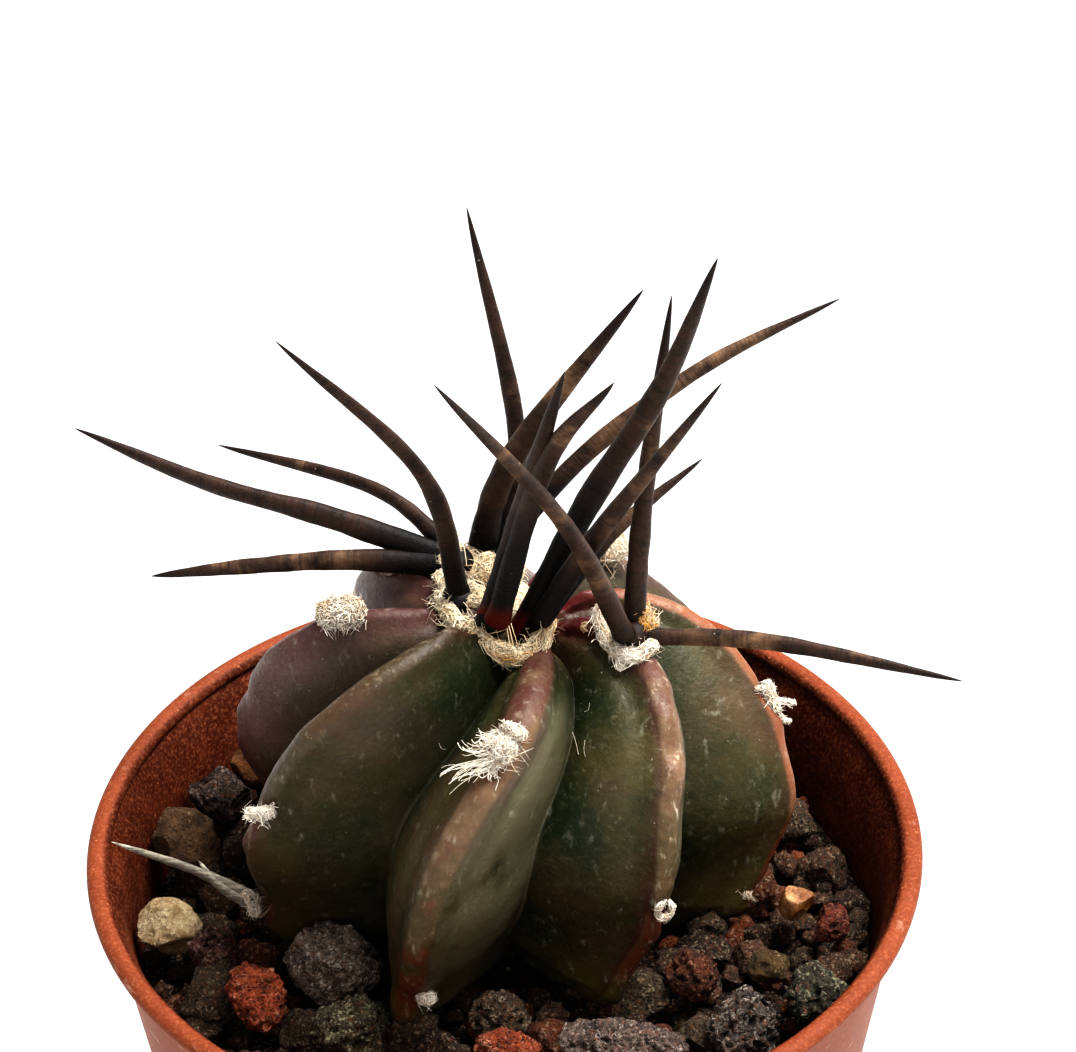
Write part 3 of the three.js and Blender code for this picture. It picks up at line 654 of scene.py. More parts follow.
@dataclass(frozen=True)
class SpineHorn:
    """Horn of a spine: nearly black at its root, brown and ringed, tan where it has weathered."""

    name: str
    black: str = "0c0908"
    brown: str = "3a271e"
    tan: str = "82664c"
    tip: str = "1a0f0c"
    glow: str = "5c0d06"
    dust: str = "a49a8c"
    weathering: float = 0.5
    root: float = 0.28
    striped: float = 0.0

    def material(self, effects: Effects) -> Material:
        """Mixes the horn. The piece's spine attribute holds the share of the length, the length
        in millimetres and a draw of its own, and redness the glow of its root.

        Args:
            effects: The shared effects.

        Returns:
            The finished material.
        """
        paint = Paint(self.name, effects)
        graph = paint.graph
        share, run, draw = graph.split(paint.attribute("spine", "Vector"))
        rings = graph.cloud(graph.combined(run, graph.times(draw, SPINE_SHIFT)), 1.9, 5.0, 0.7)
        patch = graph.cloud(paint.place, 0.28, 4.0, 0.6)
        body = graph.ramp(graph.lifted(patch, 0.2, share), self.root, self.root + 0.2)
        colour = graph.mix(body, linear(self.black), paint.mottle(1.6, self.black, self.brown, 0.42, 0.22))
        worn = graph.plus(graph.times(patch, 0.9), graph.times(rings, 0.5))
        worn = graph.plus(worn, graph.times(draw, 0.2))
        worn = graph.times(graph.ramp(worn, 0.92 - 0.2 * self.weathering, 1.1),
                           graph.ramp(share, self.root - 0.05, self.root + 0.3),
                           graph.ramp(share, 0.75, 0.97, (1.0, 0.0)))
        colour = paint.over(colour, self.tan, worn)
        colour = paint.over(colour, self.tip, graph.ramp(share, 0.78, 0.98, (0.0, 0.8)))
        colour = paint.over(colour, self.black, graph.times(graph.ramp(rings, 0.5, 0.64), 0.6))
        glow = graph.times(paint.attribute("redness"), graph.ramp(share, 0.035, 0.085, (0.9, 0.0)))
        colour = paint.over(colour, self.glow, glow)
        colour = paint.over(colour, self.dust, graph.times(paint.flecks(1.0, 0.08, 0.3), 0.5))
        if self.striped:
            stripes = graph.cloud(graph.vector("MULTIPLY", paint.place, (0.4, 4.5, 4.5)), 1.0, 3.0, 0.6)
            colour = paint.over(colour, self.black, graph.ramp(stripes, 0.42, 0.56, (0.0, self.striped)))
        height = graph.lifted(rings, 1.4, graph.cloud(paint.place, 3.0, 4.0, 0.7))
        rough = graph.ramp(worn, 0.0, 1.0, (0.55, 0.75))
        return paint.finish(colour, rough, height, 0.07, Specular_IOR_Level=0.22)


@dataclass(frozen=True)
class WoolFibre:
    """Felted plant wool: each fibre has its own tone between pale and golden, and its own painted shade."""

    name: str
    pale: str = "e9e2d4"
    golden: str = "b8842f"
    # shade: the dark colour painted over shaded fibres and felt as shade.
    shade: str = "46321e"

    def material(self, effects: Effects) -> Material:
        """Mixes the wool. The piece's wool attribute holds the tone and the painted shade, which darkens a
        fibre or the felt as shade deep in the wool.

        Args:
            effects: The shared effects.

        Returns:
            The finished material.
        """
        paint = Paint(self.name, effects)
        graph = paint.graph
        tone, shade, _ = graph.split(paint.attribute("wool", "Vector"))
        patch = graph.ramp(graph.cloud(paint.place, 0.6, 3.0), 0.35, 0.65, (-0.15, 0.15))
        colour = graph.mix(graph.plus(tone, patch, clamp=True), linear(self.pale), linear(self.golden))
        # Painted shade: fibres and felt with a low shade value are darkened.
        colour = paint.over(colour, self.shade, graph.ramp(shade, 0.0, 0.6, (0.6, 0.0)))
        fine = graph.cloud(graph.vector("MULTIPLY", paint.place, (9.0, 9.0, 5.0)), 1.0, 3.0, 0.7)
        return paint.finish(colour, 0.95, fine, 0.03, Specular_IOR_Level=0.15, Sheen_Weight=0.2)


@dataclass(frozen=True)
class Wear:
    """How rough a kind of stone is: the size of its lumps, clods and pits in millimetres, the pits'
    spacing, its grain, the spacing and strength of its pores, and the strength of its grit."""

    lump: float
    clod: float
    pit: float
    spacing: float
    grain: float
    pores: float
    pitting: float
    grit: float = 0.0


class StoneKind(Enum):
    """How a stone broke: what its surface is like."""

    LAVA = Wear(0.7, 0.3, 0.4, 0.85, 0.25, 0.3, 0.6, 0.3)
    SLATE = Wear(0.5, 0.3, 0.25, 0.9, 0.3, 0.22, 0.5, 0.38)
    PUMICE = Wear(0.4, 0.1, 0.25, 1.6, 0.07, 0.5, 0.12)
    COARSE = Wear(0.7, 0.45, 0.4, 0.85, 0.3, 0.26, 0.55, 0.42)
    SMOOTH = Wear(0.2, 0.0, 0.0, 1.0, 0.02, 0.7, 0.05)


@dataclass(frozen=True)
class StoneFace:
    """The colours and surface of one stone, or of the bed with its stones of several shades."""

    kind: StoneKind
    base: str
    second: str
    speck: str
    # pit: the colour of dark grains, and also painted shade in the pores, the hollows and the low grain.
    pit: str = "120c0a"
    ember: str = "7c4a28"
    shades: tuple[str, ...] = ()

    def material(self, effects: Effects, name: str) -> Material:
        """Mixes the stone, with its hollows and pore floors painted darker as shade. The relief attribute
        holds how far its surface stands out, and a bed's stone attribute each stone's draw in its first part.

        Args:
            effects: The shared effects.
            name: The material's name.

        Returns:
            The finished material.
        """
        paint = Paint(name, effects)
        graph = paint.graph
        wear, smooth = self.kind.value, self.kind is StoneKind.SMOOTH
        colour = paint.mottle(1.4, self.base, self.second, 0.5, 0.14)
        if self.shades:
            colour = self._shaded(paint, colour)
        place = graph.swirled(paint.place, 2.0, 2.0, 0.6)
        pits = paint.effect(effects.pores, {"Place": place, "Spacing": wear.pores, "Width": 0.75})
        grain = graph.cloud(paint.place, 4.6, 5.0, 0.8)
        relief = paint.attribute("relief")
        raised = graph.plus(graph.ramp(relief, -0.1, 0.5, (-0.1, 0.12)), grain)
        colour = paint.over(colour, self.speck, graph.ramp(raised, 0.5, 0.64, (0.0, 0.1 if smooth else 0.85)))
        # Partly the stone's dark grains and partly painted shade: the stone is darkened where the grain,
        # which also lowers the bump, is low.
        colour = paint.over(colour, self.pit, graph.ramp(grain, 0.36, 0.5, (0.8, 0.0)))
        if wear.grit:
            for spacing, low, high, tone in ((0.2, 0.0, 0.14, self.speck), (0.3, 0.2, 0.32, self.ember),
                                             (0.24, 0.6, 0.8, self.pit)):
                grains = paint.effect(effects.grains, {
                    "Place": place, "Spacing": spacing, "Low": low, "High": high})
                colour = paint.over(colour, tone, graph.times(grains["Mask"], wear.grit))
        # Painted shade: the floors of the pores are darkened.
        colour = paint.over(colour, self.pit, graph.times(pits["Mask"], wear.pitting))
        # Painted shade: the stone is darkened in its hollows, where the relief sinks.
        colour = paint.over(colour, self.pit, graph.ramp(relief, -0.55, -0.05, (0.85, 0.0)))
        height = graph.plus(graph.times(pits["Depth"], -1.4 * wear.pitting), graph.times(grain, 1.2))
        rough, depth = (0.35, 0.05) if smooth else (0.93, 0.3)
        return paint.finish(colour, rough, height, depth, Specular_IOR_Level=0.3)

    def _shaded(self, paint: Paint, colour: Socket) -> Socket:
        """Gives each stone of the bed one of the shades by its draw.

        Args:
            paint: The material being mixed.
            colour: The stone so far.

        Returns:
            The colour.
        """
        draw = paint.four("stone")[0]
        for index, shade in enumerate(self.shades):
            chosen = paint.graph.math("GREATER_THAN", draw, (index + 1) / (len(self.shades) + 1))
            colour = paint.graph.mix(chosen, colour, paint.mottle(1.8, shade, self.second, 0.6))
        return colour


@dataclass(frozen=True)
class PottingMix:
    """Dark crumbly mix with a few pale grains, which lies under the gravel."""

    dark: str = "1d1511"
    brown: str = "3a2a20"
    grain: str = "8d8272"

    def material(self, effects: Effects) -> Material:
        """Mixes the mix.

        Args:
            effects: The shared effects.

        Returns:
            The finished material.
        """
        paint = Paint("potting mix", effects)
        grains = paint.flecks(1.4, 0.4, 0.25)
        colour = paint.over(paint.mottle(1.2, self.dark, self.brown), self.grain, grains)
        crumbs = paint.graph.cloud(paint.place, 1.6, 5.0, 0.7)
        return paint.finish(colour, 0.97, crumbs, 0.5, Specular_IOR_Level=0.2)


@dataclass(frozen=True)
class FloorFinish:
    """A plain pale floor, plain white where the camera looks past the pot."""

    tone: str = "f7f6f4"
    second: str = "fbfaf8"

    def material(self, effects: Effects) -> Material:
        """Mixes the floor.

        Args:
            effects: The shared effects.

        Returns:
            The finished material.
        """
        paint = Paint("pale floor", effects)
        graph = paint.graph
        made = paint.finish(paint.mottle(60.0, self.tone, self.second), 0.9)
        bright = graph.node("ShaderNodeEmission", {"Color": (1.0, 1.0, 1.0, 1.0), "Strength": 1.0}).outputs[0]
        seen = graph.node("ShaderNodeLightPath").outputs["Is Camera Ray"]
        both = graph.node("ShaderNodeMixShader", {0: seen, 1: paint.shader.outputs[0], 2: bright}).outputs[0]
        graph.tree.links.new(both, graph.tree.nodes["Material Output"].inputs["Surface"])
        return made


def linked(name: str, data: Any) -> Solid:
    """Makes an object of a mesh, a lamp or a camera, and links it to the scene.

    Args:
        name: The object's name.
        data: What it shows.

    Returns:
        The object.
    """
    made = bpy.data.objects.new(name, data)
    bpy.context.scene.collection.objects.link(made)
    return made


def mesh_object(name: str, points: Any, faces: Iterable[Sequence[int]],
                edges: Iterable[Sequence[int]] = ()) -> Solid:
    """Makes an object from points in millimetres.

    Args:
        name: The object's name.
        points: One point per row.
        faces: The corners of each face.
        edges: Loose edges, for a guide with no faces.

    Returns:
        The object, linked to the scene.
    """
    mesh = bpy.data.meshes.new(name)
    mesh.from_pydata((np.asarray(points, float) * MM).tolist(), list(edges), [list(f) for f in faces])
    mesh.update()
    return linked(name, mesh)


def line_object(name: str, points: Array) -> Solid:
    """Makes a guide of points that edges join in a row."""
    return mesh_object(name, points, [], [(k, k + 1) for k in range(len(points) - 1)])


def ball(fineness: int, radius: float) -> tuple[Array, list[list[int]]]:
    """Returns the points and faces of a ball.

    Args:
        fineness: How often a ball's faces are divided.
        radius: The ball's radius.

    Returns:
        The points and the faces.
    """
    mesh = bmesh.new()
    bmesh.ops.create_icosphere(mesh, subdivisions=fineness, radius=radius)
    points, faces = np.array([v.co for v in mesh.verts]), [[v.index for v in f.verts] for f in mesh.faces]
    mesh.free()
    return points, faces


def closed_skin(rings: Array, first: Array,
                last: Array) -> tuple[Array, list[tuple[int, ...]]]:
    """Skins rings of equal length and closes each end with a point.

    Args:
        rings: Places by ring and column.
        first: The point before the first ring.
        last: The point after the last ring.

    Returns:
        The points, of which the two last close the ends, and the faces.
    """
    total, count = rings.shape[:2]
    start, end = total * count, total * count + 1
    faces: list[tuple[int, ...]] = []
    for k in range(count):
        n = (k + 1) % count
        faces += [(j * count + k, (j + 1) * count + k, (j + 1) * count + n, j * count + n)
                  for j in range(total - 1)]
        faces += [(start, k, n), (end, (total - 1) * count + n, (total - 1) * count + k)]
    return np.concatenate([rings.reshape(-1, 3), [first, last]]), faces


def carried(heading: Array, side: Any) -> Array:
    """Carries a side direction along a path, always square to the path's heading.

    Args:
        heading: The path's direction at each place.
        side: The side to start from.

    Returns:
        The side direction at each place.
    """
    carried_on = []
    for ahead in heading:
        side = side - ahead * (side @ ahead)
        side = side / np.linalg.norm(side)
        carried_on.append(side)
    return np.array(carried_on)


def store(target: Solid, name: str, values: Any) -> None:
    """Stores an attribute on an object's points.

    Args:
        target: The object.
        name: The attribute's name.
        values: One number, or one row of three or of four, for each point.
    """
    values = np.asarray(values, np.float32)
    kind, field_name = {1: ("FLOAT", "value"), 3: ("FLOAT_VECTOR", "vector"),
                        4: ("FLOAT_COLOR", "color")}[values.size // len(values)]
    target.data.attributes.new(name, kind, "POINT").data.foreach_set(field_name, values.ravel())


def vectors(items: Any, name: str) -> Array:
    """Reads one vector of each item of a mesh.

    Args:
        items: The mesh's points or their normals.
        name: What is read of each.

    Returns:
        One row for each item.
    """
    flat = np.zeros(len(items) * 3, np.float32)
    items.foreach_get(name, flat)
    return flat.reshape(-1, 3)


def coordinates(target: Solid) -> Array:
    """Returns an object's points in millimetres."""
    return vectors(target.data.vertices, "co") / MM


def normals(target: Solid) -> Array:
    """Returns the normal at each of an object's points."""
    return vectors(target.data.vertex_normals, "vector")


def move_points(target: Solid, points: Array) -> None:
    """Moves an object's points to places in millimetres."""
    target.data.vertices.foreach_set("co", (points * MM).astype(np.float32).ravel())
    target.data.update()


def add_rounding(target: Solid, factor: float, rounds: int) -> None:
    """Adds a smoothing modifier to an object."""
    rounding = target.modifiers.new("rounded", "SMOOTH")
    rounding.factor, rounding.iterations = factor, rounds


def baked(source: Solid, name: str) -> Solid:
    """Turns an object and its modifiers into a plain mesh of its own.

    Args:
        source: The object with modifiers, which is removed.
        name: The new object's name.

    Returns:
        The plain object.
    """
    graph = bpy.context.evaluated_depsgraph_get()
    mesh = bpy.data.meshes.new_from_object(
        source.evaluated_get(graph), preserve_all_data_layers=True, depsgraph=graph)
    made = linked(name, mesh)
    bpy.data.objects.remove(source)
    return made


def joined(name: str, parts: Sequence[Solid]) -> Solid:
    """Joins objects into one.

    Args:
        name: The joined object's name.
        parts: The objects, whose meshes keep their attributes and materials.

    Returns:
        The joined object.
    """
    with bpy.context.temp_override(active_object=parts[0], selected_editable_objects=list(parts)):
        bpy.ops.object.join()
    parts[0].name = name
    return parts[0]


def outward(target: Solid, weld: float = 0.0) -> Solid:
    """Merges doubles where a distance is given, and turns every face outwards.

    Args:
        target: The object.
        weld: Merge distance in millimetres.

    Returns:
        The same object.
    """
    mesh = bmesh.new()
    mesh.from_mesh(target.data)
    if weld:
        bmesh.ops.remove_doubles(mesh, verts=mesh.verts, dist=weld * MM)
    bmesh.ops.recalc_face_normals(mesh, faces=mesh.faces)
    mesh.to_mesh(target.data)
    mesh.free()
    return target


def finished(piece: Solid, material: Material, slot: str, node: str, soft: bool = True) -> None:
    """Gives a piece its shading, its material and its place in the frame.

    Args:
        piece: The piece.
        material: Its material.
        slot: A material slot's name; not used.
        node: The node that it stands for.
        soft: Whether every face is shaded smoothly.
    """
    if soft:
        piece.data.polygons.foreach_set("use_smooth", [True] * len(piece.data.polygons))
    piece.data.materials.clear()
    piece.data.materials.append(material)
    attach(piece, ROOT_BODY)
    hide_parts(node)
    LOG.info("%s: %d faces", piece.name, len(piece.data.polygons))


class Tree:
    """A Geometry Nodes tree with named inputs, which can be run on an object."""

    def __init__(self, name: str, inputs: dict[str, Any]) -> None:
        """Starts the tree with a geometry input and output, the named inputs and a material.

        Args:
            name: The tree's name.
            inputs: The default of each input.
        """
        tree = bpy.data.node_groups.new(name, "GeometryNodeTree")
        for way in ("INPUT", "OUTPUT"):
            tree.interface.new_socket(name="Geometry", in_out=way, socket_type="NodeSocketGeometry")
        self.identifiers = add_inputs(tree, inputs | {"Material": "NodeSocketMaterial"})
        self.graph = Graph(tree)
        self.inputs = self.graph.node("NodeGroupInput").outputs

    @staticmethod
    def kind(value: Socket) -> dict[str, str]:
        """Returns the settings of a node that reads or stores a value on points."""
        return {"data_type": "FLOAT_VECTOR" if value.type == "VECTOR" else "FLOAT", "domain": "POINT"}

    def place(self) -> Socket:
        """Reads the place of each point."""
        return self.step("InputPosition", {})

    def named(self, name: str, kind: str = "FLOAT") -> Socket:
        """Reads a named attribute."""
        return self.step("InputNamedAttribute", {"Name": name}, data_type=kind)

    def sampled(self, value: Socket, index: Socket) -> Socket:
        """Reads a field of the guide at an index."""
        return self.step("SampleIndex", {
            "Geometry": self.inputs["Geometry"], "Value": value, "Index": index}, **self.kind(value))

    def stored(self, geometry: Socket, name: str, value: Socket) -> Socket:
        """Stores a value on a geometry's points under a name."""
        return self.step("StoreNamedAttribute", {
            "Geometry": geometry, "Name": name, "Value": value}, **self.kind(value))

    def step(self, kind: str, inputs: dict[Any, Any], **settings: Any) -> Socket:
        """Adds a node of geometry and returns its first output."""
        return self.graph.node(f"GeometryNode{kind}", inputs, **settings).outputs[0]

    def tube(self) -> tuple[Socket, Socket, Socket, Socket]:
        """Makes an open tube with one ring for each point of the guide.

        Returns:
            The tube, the index of each vertex's ring, and the cosine and sine of its angle.
        """
        graph = self.graph
        size = graph.node("GeometryNodeAttributeDomainSize", {0: self.inputs["Geometry"]}, component="MESH")
        rings = graph.minus(size.outputs["Point Count"], 1.0)
        tube = self.step("MeshCylinder", {
            "Vertices": self.inputs["Sides"], "Side Segments": rings, "Radius": 1.0, "Depth": 1.0,
        }, fill_type="NONE")
        cosine, sine, level = graph.split(self.place())
        ring = graph.math("ROUND", graph.times(graph.plus(level, 0.5), rings))
        return tube, ring, cosine, sine

    def close(self, geometry: Socket) -> None:
        """Ends the tree: realizes what is instanced and sets the material.

        Args:
            geometry: The finished geometry.
        """
        real = self.step("RealizeInstances", {"Geometry": geometry})
        done = self.step("SetMaterial", {"Geometry": real, "Material": self.inputs["Material"]})
        self.graph.node("NodeGroupOutput", {0: done})

    def run(self, target: Solid, name: str, values: dict[str, Any]) -> Solid:
        """Runs the tree on an object and returns the result as a plain mesh.

        Args:
            target: The object that the tree reads, which is removed.
            name: The result's name.
            values: A value for each named input that differs from its default.

        Returns:
            The plain object.
        """
        modifier = target.modifiers.new("nodes", "NODES")
        modifier.node_group = self.graph.tree
        for label, value in values.items():
            modifier[self.identifiers[label]] = value
        return baked(target, name)


@dataclass
class Pot:
    """The moulded pot: a thin tapered wall with a rolled lip and a drained floor."""

    effects: Effects
    rim_radius: float = 32.5
    base_radius: float = 22.5
    wall: float = 1.0
    lip_overhang: float = 1.2
    lip_half_width: float = 0.85
    lip_half_height: float = 0.7
    lip_sweep: tuple[float, float] = (-62.0, 222.0)
    lip_steps: int = 26
    floor: float = 1.6
    corner: float = 1.2
    under_lip: float = 1.15
    inner_fillet: tuple[float, float] = (0.3, 0.25)
    corner_sweep: tuple[float, float] = (-90.0, -10.0)
    corner_steps: int = 6
    wall_steps: int = 12
    drain_holes: int = 6
    drain_radius: float = 2.5
    drain_circle: float = 13.0
    drill_sides: int = 32
    sides: int = 180
    sharp_from: float = 40.0

    def outer(self, z: float) -> float:
        """Returns the wall's outer radius at a height."""
        return self.base_radius + (self.rim_radius - self.lip_overhang - self.base_radius) * z / LIP_LEVEL

    def outline(self) -> Array:
        """Returns the section's points, radius and height, from the middle of the underside round the
        lip to the middle of the floor.

        Returns:
            One point per row.
        """
        corner = [(self.base_radius - self.corner + self.corner * math.cos(a),
                   self.corner + self.corner * math.sin(a))
                  for a in np.radians(np.linspace(*self.corner_sweep, self.corner_steps))]
        lip = [(self.rim_radius - self.lip_half_width + self.lip_half_width * math.cos(a),
                LIP_LEVEL + self.lip_half_height * math.sin(a))
               for a in np.radians(np.linspace(*self.lip_sweep, self.lip_steps))]
        foot = LIP_LEVEL - self.under_lip * self.lip_half_height
        outside = [(self.outer(z), z) for z in np.linspace(2 * self.corner, foot, self.wall_steps)]
        inside = [(self.outer(z) - self.wall, z)
                  for z in np.linspace(foot - 2 * self.lip_half_height, self.floor + 1.0, self.wall_steps)]
        low, (inset, rise) = self.outer(self.floor) - self.wall, self.inner_fillet
        return np.array([(0, 0), *corner, *outside, *lip, *inside, (low - inset, self.floor + rise),
                         (low - 1.0, self.floor), (0, self.floor)])

    def tree(self) -> Tree:
        """Builds the nodes that turn the outline round the axis and drill the drain holes.

        Returns:
            The tree.
        """
        tree = Tree("turned wall", {
            "Sides": 96, "Holes": 6, "Hole Radius": 0.002, "Hole Circle": 0.01, "Drill Length": 0.006})
        graph, given = tree.graph, tree.inputs
        tube, ring, cosine, sine = tree.tube()
        radius, _, height = graph.split(tree.sampled(tree.place(), ring))
        spot = graph.combined(graph.times(radius, cosine), graph.times(radius, sine), height)
        wall = tree.step("SetPosition", {"Geometry": tube, "Position": spot})
        wall = tree.step("MergeByDistance", {"Geometry": wall, "Distance": 1e-7})
        circle = tree.step("MeshCircle", {
            "Vertices": given["Holes"], "Radius": given["Hole Circle"]})
        drill = tree.step("MeshCylinder", {
            "Vertices": self.drill_sides, "Radius": given["Hole Radius"], "Depth": given["Drill Length"]})
        drills = tree.step("InstanceOnPoints", {"Points": circle, "Instance": drill})
        real = tree.step("RealizeInstances", {"Geometry": drills})
        tree.close(tree.step("MeshBoolean", {"Mesh 1": wall, "Mesh 2": real},
                             operation="DIFFERENCE", solver="EXACT"))
        return tree

    def build(self) -> None:
        """Makes the pot."""
        outline = self.outline()
        guide = line_object("pot outline", np.insert(outline, 1, 0.0, axis=1))
        material = PotPlastic().material(self.effects)
        shell = self.tree().run(guide, "pot_shell", {
            "Sides": self.sides, "Holes": self.drain_holes, "Hole Radius": self.drain_radius * MM,
            "Hole Circle": self.drain_circle * MM, "Drill Length": 4 * self.floor * MM, "Material": material})
        outward(shell, 1e-4)
        away = unit(coordinates(shell)[:, :2])
        store(shell, "facing", (away * normals(shell)[:, :2]).sum(axis=1))
        shell.data.set_sharp_from_angle(angle=math.radians(self.sharp_from))
        finished(shell, material, "pot", "pot", soft=False)


@dataclass(frozen=True)
class Rib:
    """One rib: its azimuth, its shares of the common profile, its areoles and its looks."""

    azimuth: float
    reach: float
    rise: float
    cap: float
    relief: float
    swing: float
    areoles: tuple[float, ...] = ()
    purple: float = 0.3
    pale: float = 0.5
    knobs: float = 0.5
    red: float = 0.5


@dataclass(frozen=True)
class Globe:
    """The form of the ribbed globe, in millimetres: how it leans, its profile and its ribs."""

    lean: tuple[float, float] = (-0.1, -0.22)
    lean_height: float = 20.0
    radius: tuple[float, ...] = (1.5, 6, 10.5, 15, 18.8, 21.1, 22.2, 21, 19)
    height: tuple[float, ...] = (24, 26.5, 26.7, 24.8, 20.7, 15.5, 10, 5.6, 0)
    twist: tuple[float, ...] = (39, 31, 22.5, 15.5, 7.5, 0, -4, -7, -12.5)
    furrow_radius: tuple[float, ...] = (2, 6.6, 9, 10.8, 12.2, 13.3, 13.9, 12.9, 10.9)
    furrow_height: tuple[float, ...] = (23, 23.1, 21.6, 19.4, 16.5, 13.2, 9.6, 5.8, 2.2)
    cap: tuple[float, ...] = (0.3, 0.9, 1.3, 1.4, 1.4, 1.35, 1.3, 1.3, 1.2)
    bulge: tuple[float, ...] = (0, 0.2, 0.4, 0.6, 0.7, 0.7, 0.7, 0.6, 0.4)
    notch: float = 0.7
    notch_spread: float = 0.022
    chin_drop: float = 0.055
    chin: float = 0.6
    dimple: float = 1.2
    slope_step: float = 0.01
    root_tip: float = 26.5
    root: tuple[tuple[float, float], ...] = ((5.4, -4.4), (4.2, -8), (3, -17), (1.3, -25))
    crest_foot: tuple[tuple[float, float], ...] = ((15.5, -2.2), (10, -3.4))
    furrow_foot: tuple[tuple[float, float], ...] = ((8.5, -0.4), (7, -2.4))
    ribs: tuple[Rib, ...] = (
        Rib(174.5, 1.0, 1.0, 0.7, 0.35, 0, (0.1, 0.325, 0.62), 0.9, 0.2, 0.25, 0.3),
        Rib(215.5, 1.08, 1.04, 0.8, 0.9, 0, (0.15, 0.675, 0.9), 0.14, 0.25, 0.3, 0.12),
        Rib(256, 1.09, 0.98, 1.25, 0.6, -4, (0.06, 0.45, 0.925), 0.08, 0.85, 0.45, 0.35),
        Rib(307, 0.92, 1.0, 0.9, 0.8, 0, (0.28, 0.5, 0.79), 0.02, 1.0, 1.0, 1.0),
        Rib(355, 0.99, 0.99, 0.7, 0.45, 0, (0.08, 0.54, 0.97), 0.06, 0.95, 0.3, 1.0),
        Rib(38.5, 0.99, 0.99, 0.75, 0.5, 0, (0.34, 0.6, 0.85), 0.4, 0.2, 0.2, 0.95),
        Rib(82, 1.0, 0.95, 0.75, 0.5, 0, (0.1, 0.45, 0.75), 0.8, 0.3, 0.3, 0.6),
        Rib(127.5, 0.92, 0.99, 0.75, 0.5, 0, (0.12, 0.29, 0.62), 0.95, 0.3, 0.3, 0.4),
    )

    def at(self, radius: Any, degrees: Any, height: Any) -> Array:
        """Returns places of the plant from radius, azimuth and height above the gravel.

        Args:
            radius: The distance from the plant's axis.
            degrees: The azimuth.
            height: The height above the gravel.

        Returns:
            One place for each.
        """
        radius, angle, height = np.broadcast_arrays(radius, np.radians(degrees), height)
        x, y = radius * np.cos(angle), radius * np.sin(angle)
        share = np.clip(height / self.lean_height, 0, 1)
        lift = (self.lean[0] * x + self.lean[1] * y) * share
        return np.stack([PLANT[0] + x, PLANT[1] + y, SOIL_LEVEL + height + lift], axis=-1)

    def crest(self, rib: Rib, t: Any, inset: Any = 0.0) -> Array:
        """Returns places on a rib's crest.

        Args:
            rib: The rib.
            t: Level, 0 at the crown and 1 at the gravel.
            inset: Depth below the crest.

        Returns:
            One place for each level.
        """
        t = np.asarray(t, float)
        high, low = np.maximum(t - self.slope_step, 0), np.minimum(t + self.slope_step, 1)
        run = along(self.radius, low) - along(self.radius, high)
        fall = along(self.height, low) - along(self.height, high)
        length = np.hypot(run, fall)
        radius = along(self.radius, t) + inset * fall / length
        height = along(self.height, t) - inset * run / length
        return self.at(radius * rib.reach, rib.azimuth + along(self.twist, t), height * rib.rise)

    def between(self, index: int) -> Rib:
        """Returns the furrow between a rib and the next one, its values halfway between theirs.

        Args:
            index: The rib's index.

        Returns:
            The furrow.
        """
        rib, after = self.ribs[index], self.ribs[(index + 1) % len(self.ribs)]
        turn = (after.azimuth - rib.azimuth) % 360
        middle = {name: (getattr(rib, name) + getattr(after, name)) / 2
                  for name in ("reach", "rise", "cap", "relief", "purple", "pale", "knobs", "red")}
        return Rib(azimuth=rib.azimuth + turn / 2 + rib.swing, swing=0.0, **middle)

    def valley(self, furrow: Rib, t: Array) -> Array:
        """Returns places along the bottom of a furrow."""
        radius, height = along(self.furrow_radius, t), along(self.furrow_height, t)
        return self.at(radius * furrow.reach, furrow.azimuth + along(self.twist, t), height * furrow.rise)

    def relief(self, rib: Rib, t: Array) -> Array:
        """Returns the notches and chins along a rib's crest.

        Args:
            rib: The rib.
            t: The levels.

        Returns:
            How far each level stands out.
        """
        total = np.zeros_like(t)
        for place in rib.areoles:
            total -= self.notch * np.exp(-((t - place) / self.notch_spread) ** 2)
            total += self.chin * np.exp(-((t - place - self.chin_drop) / self.notch_spread) ** 2)
        return total * rib.relief


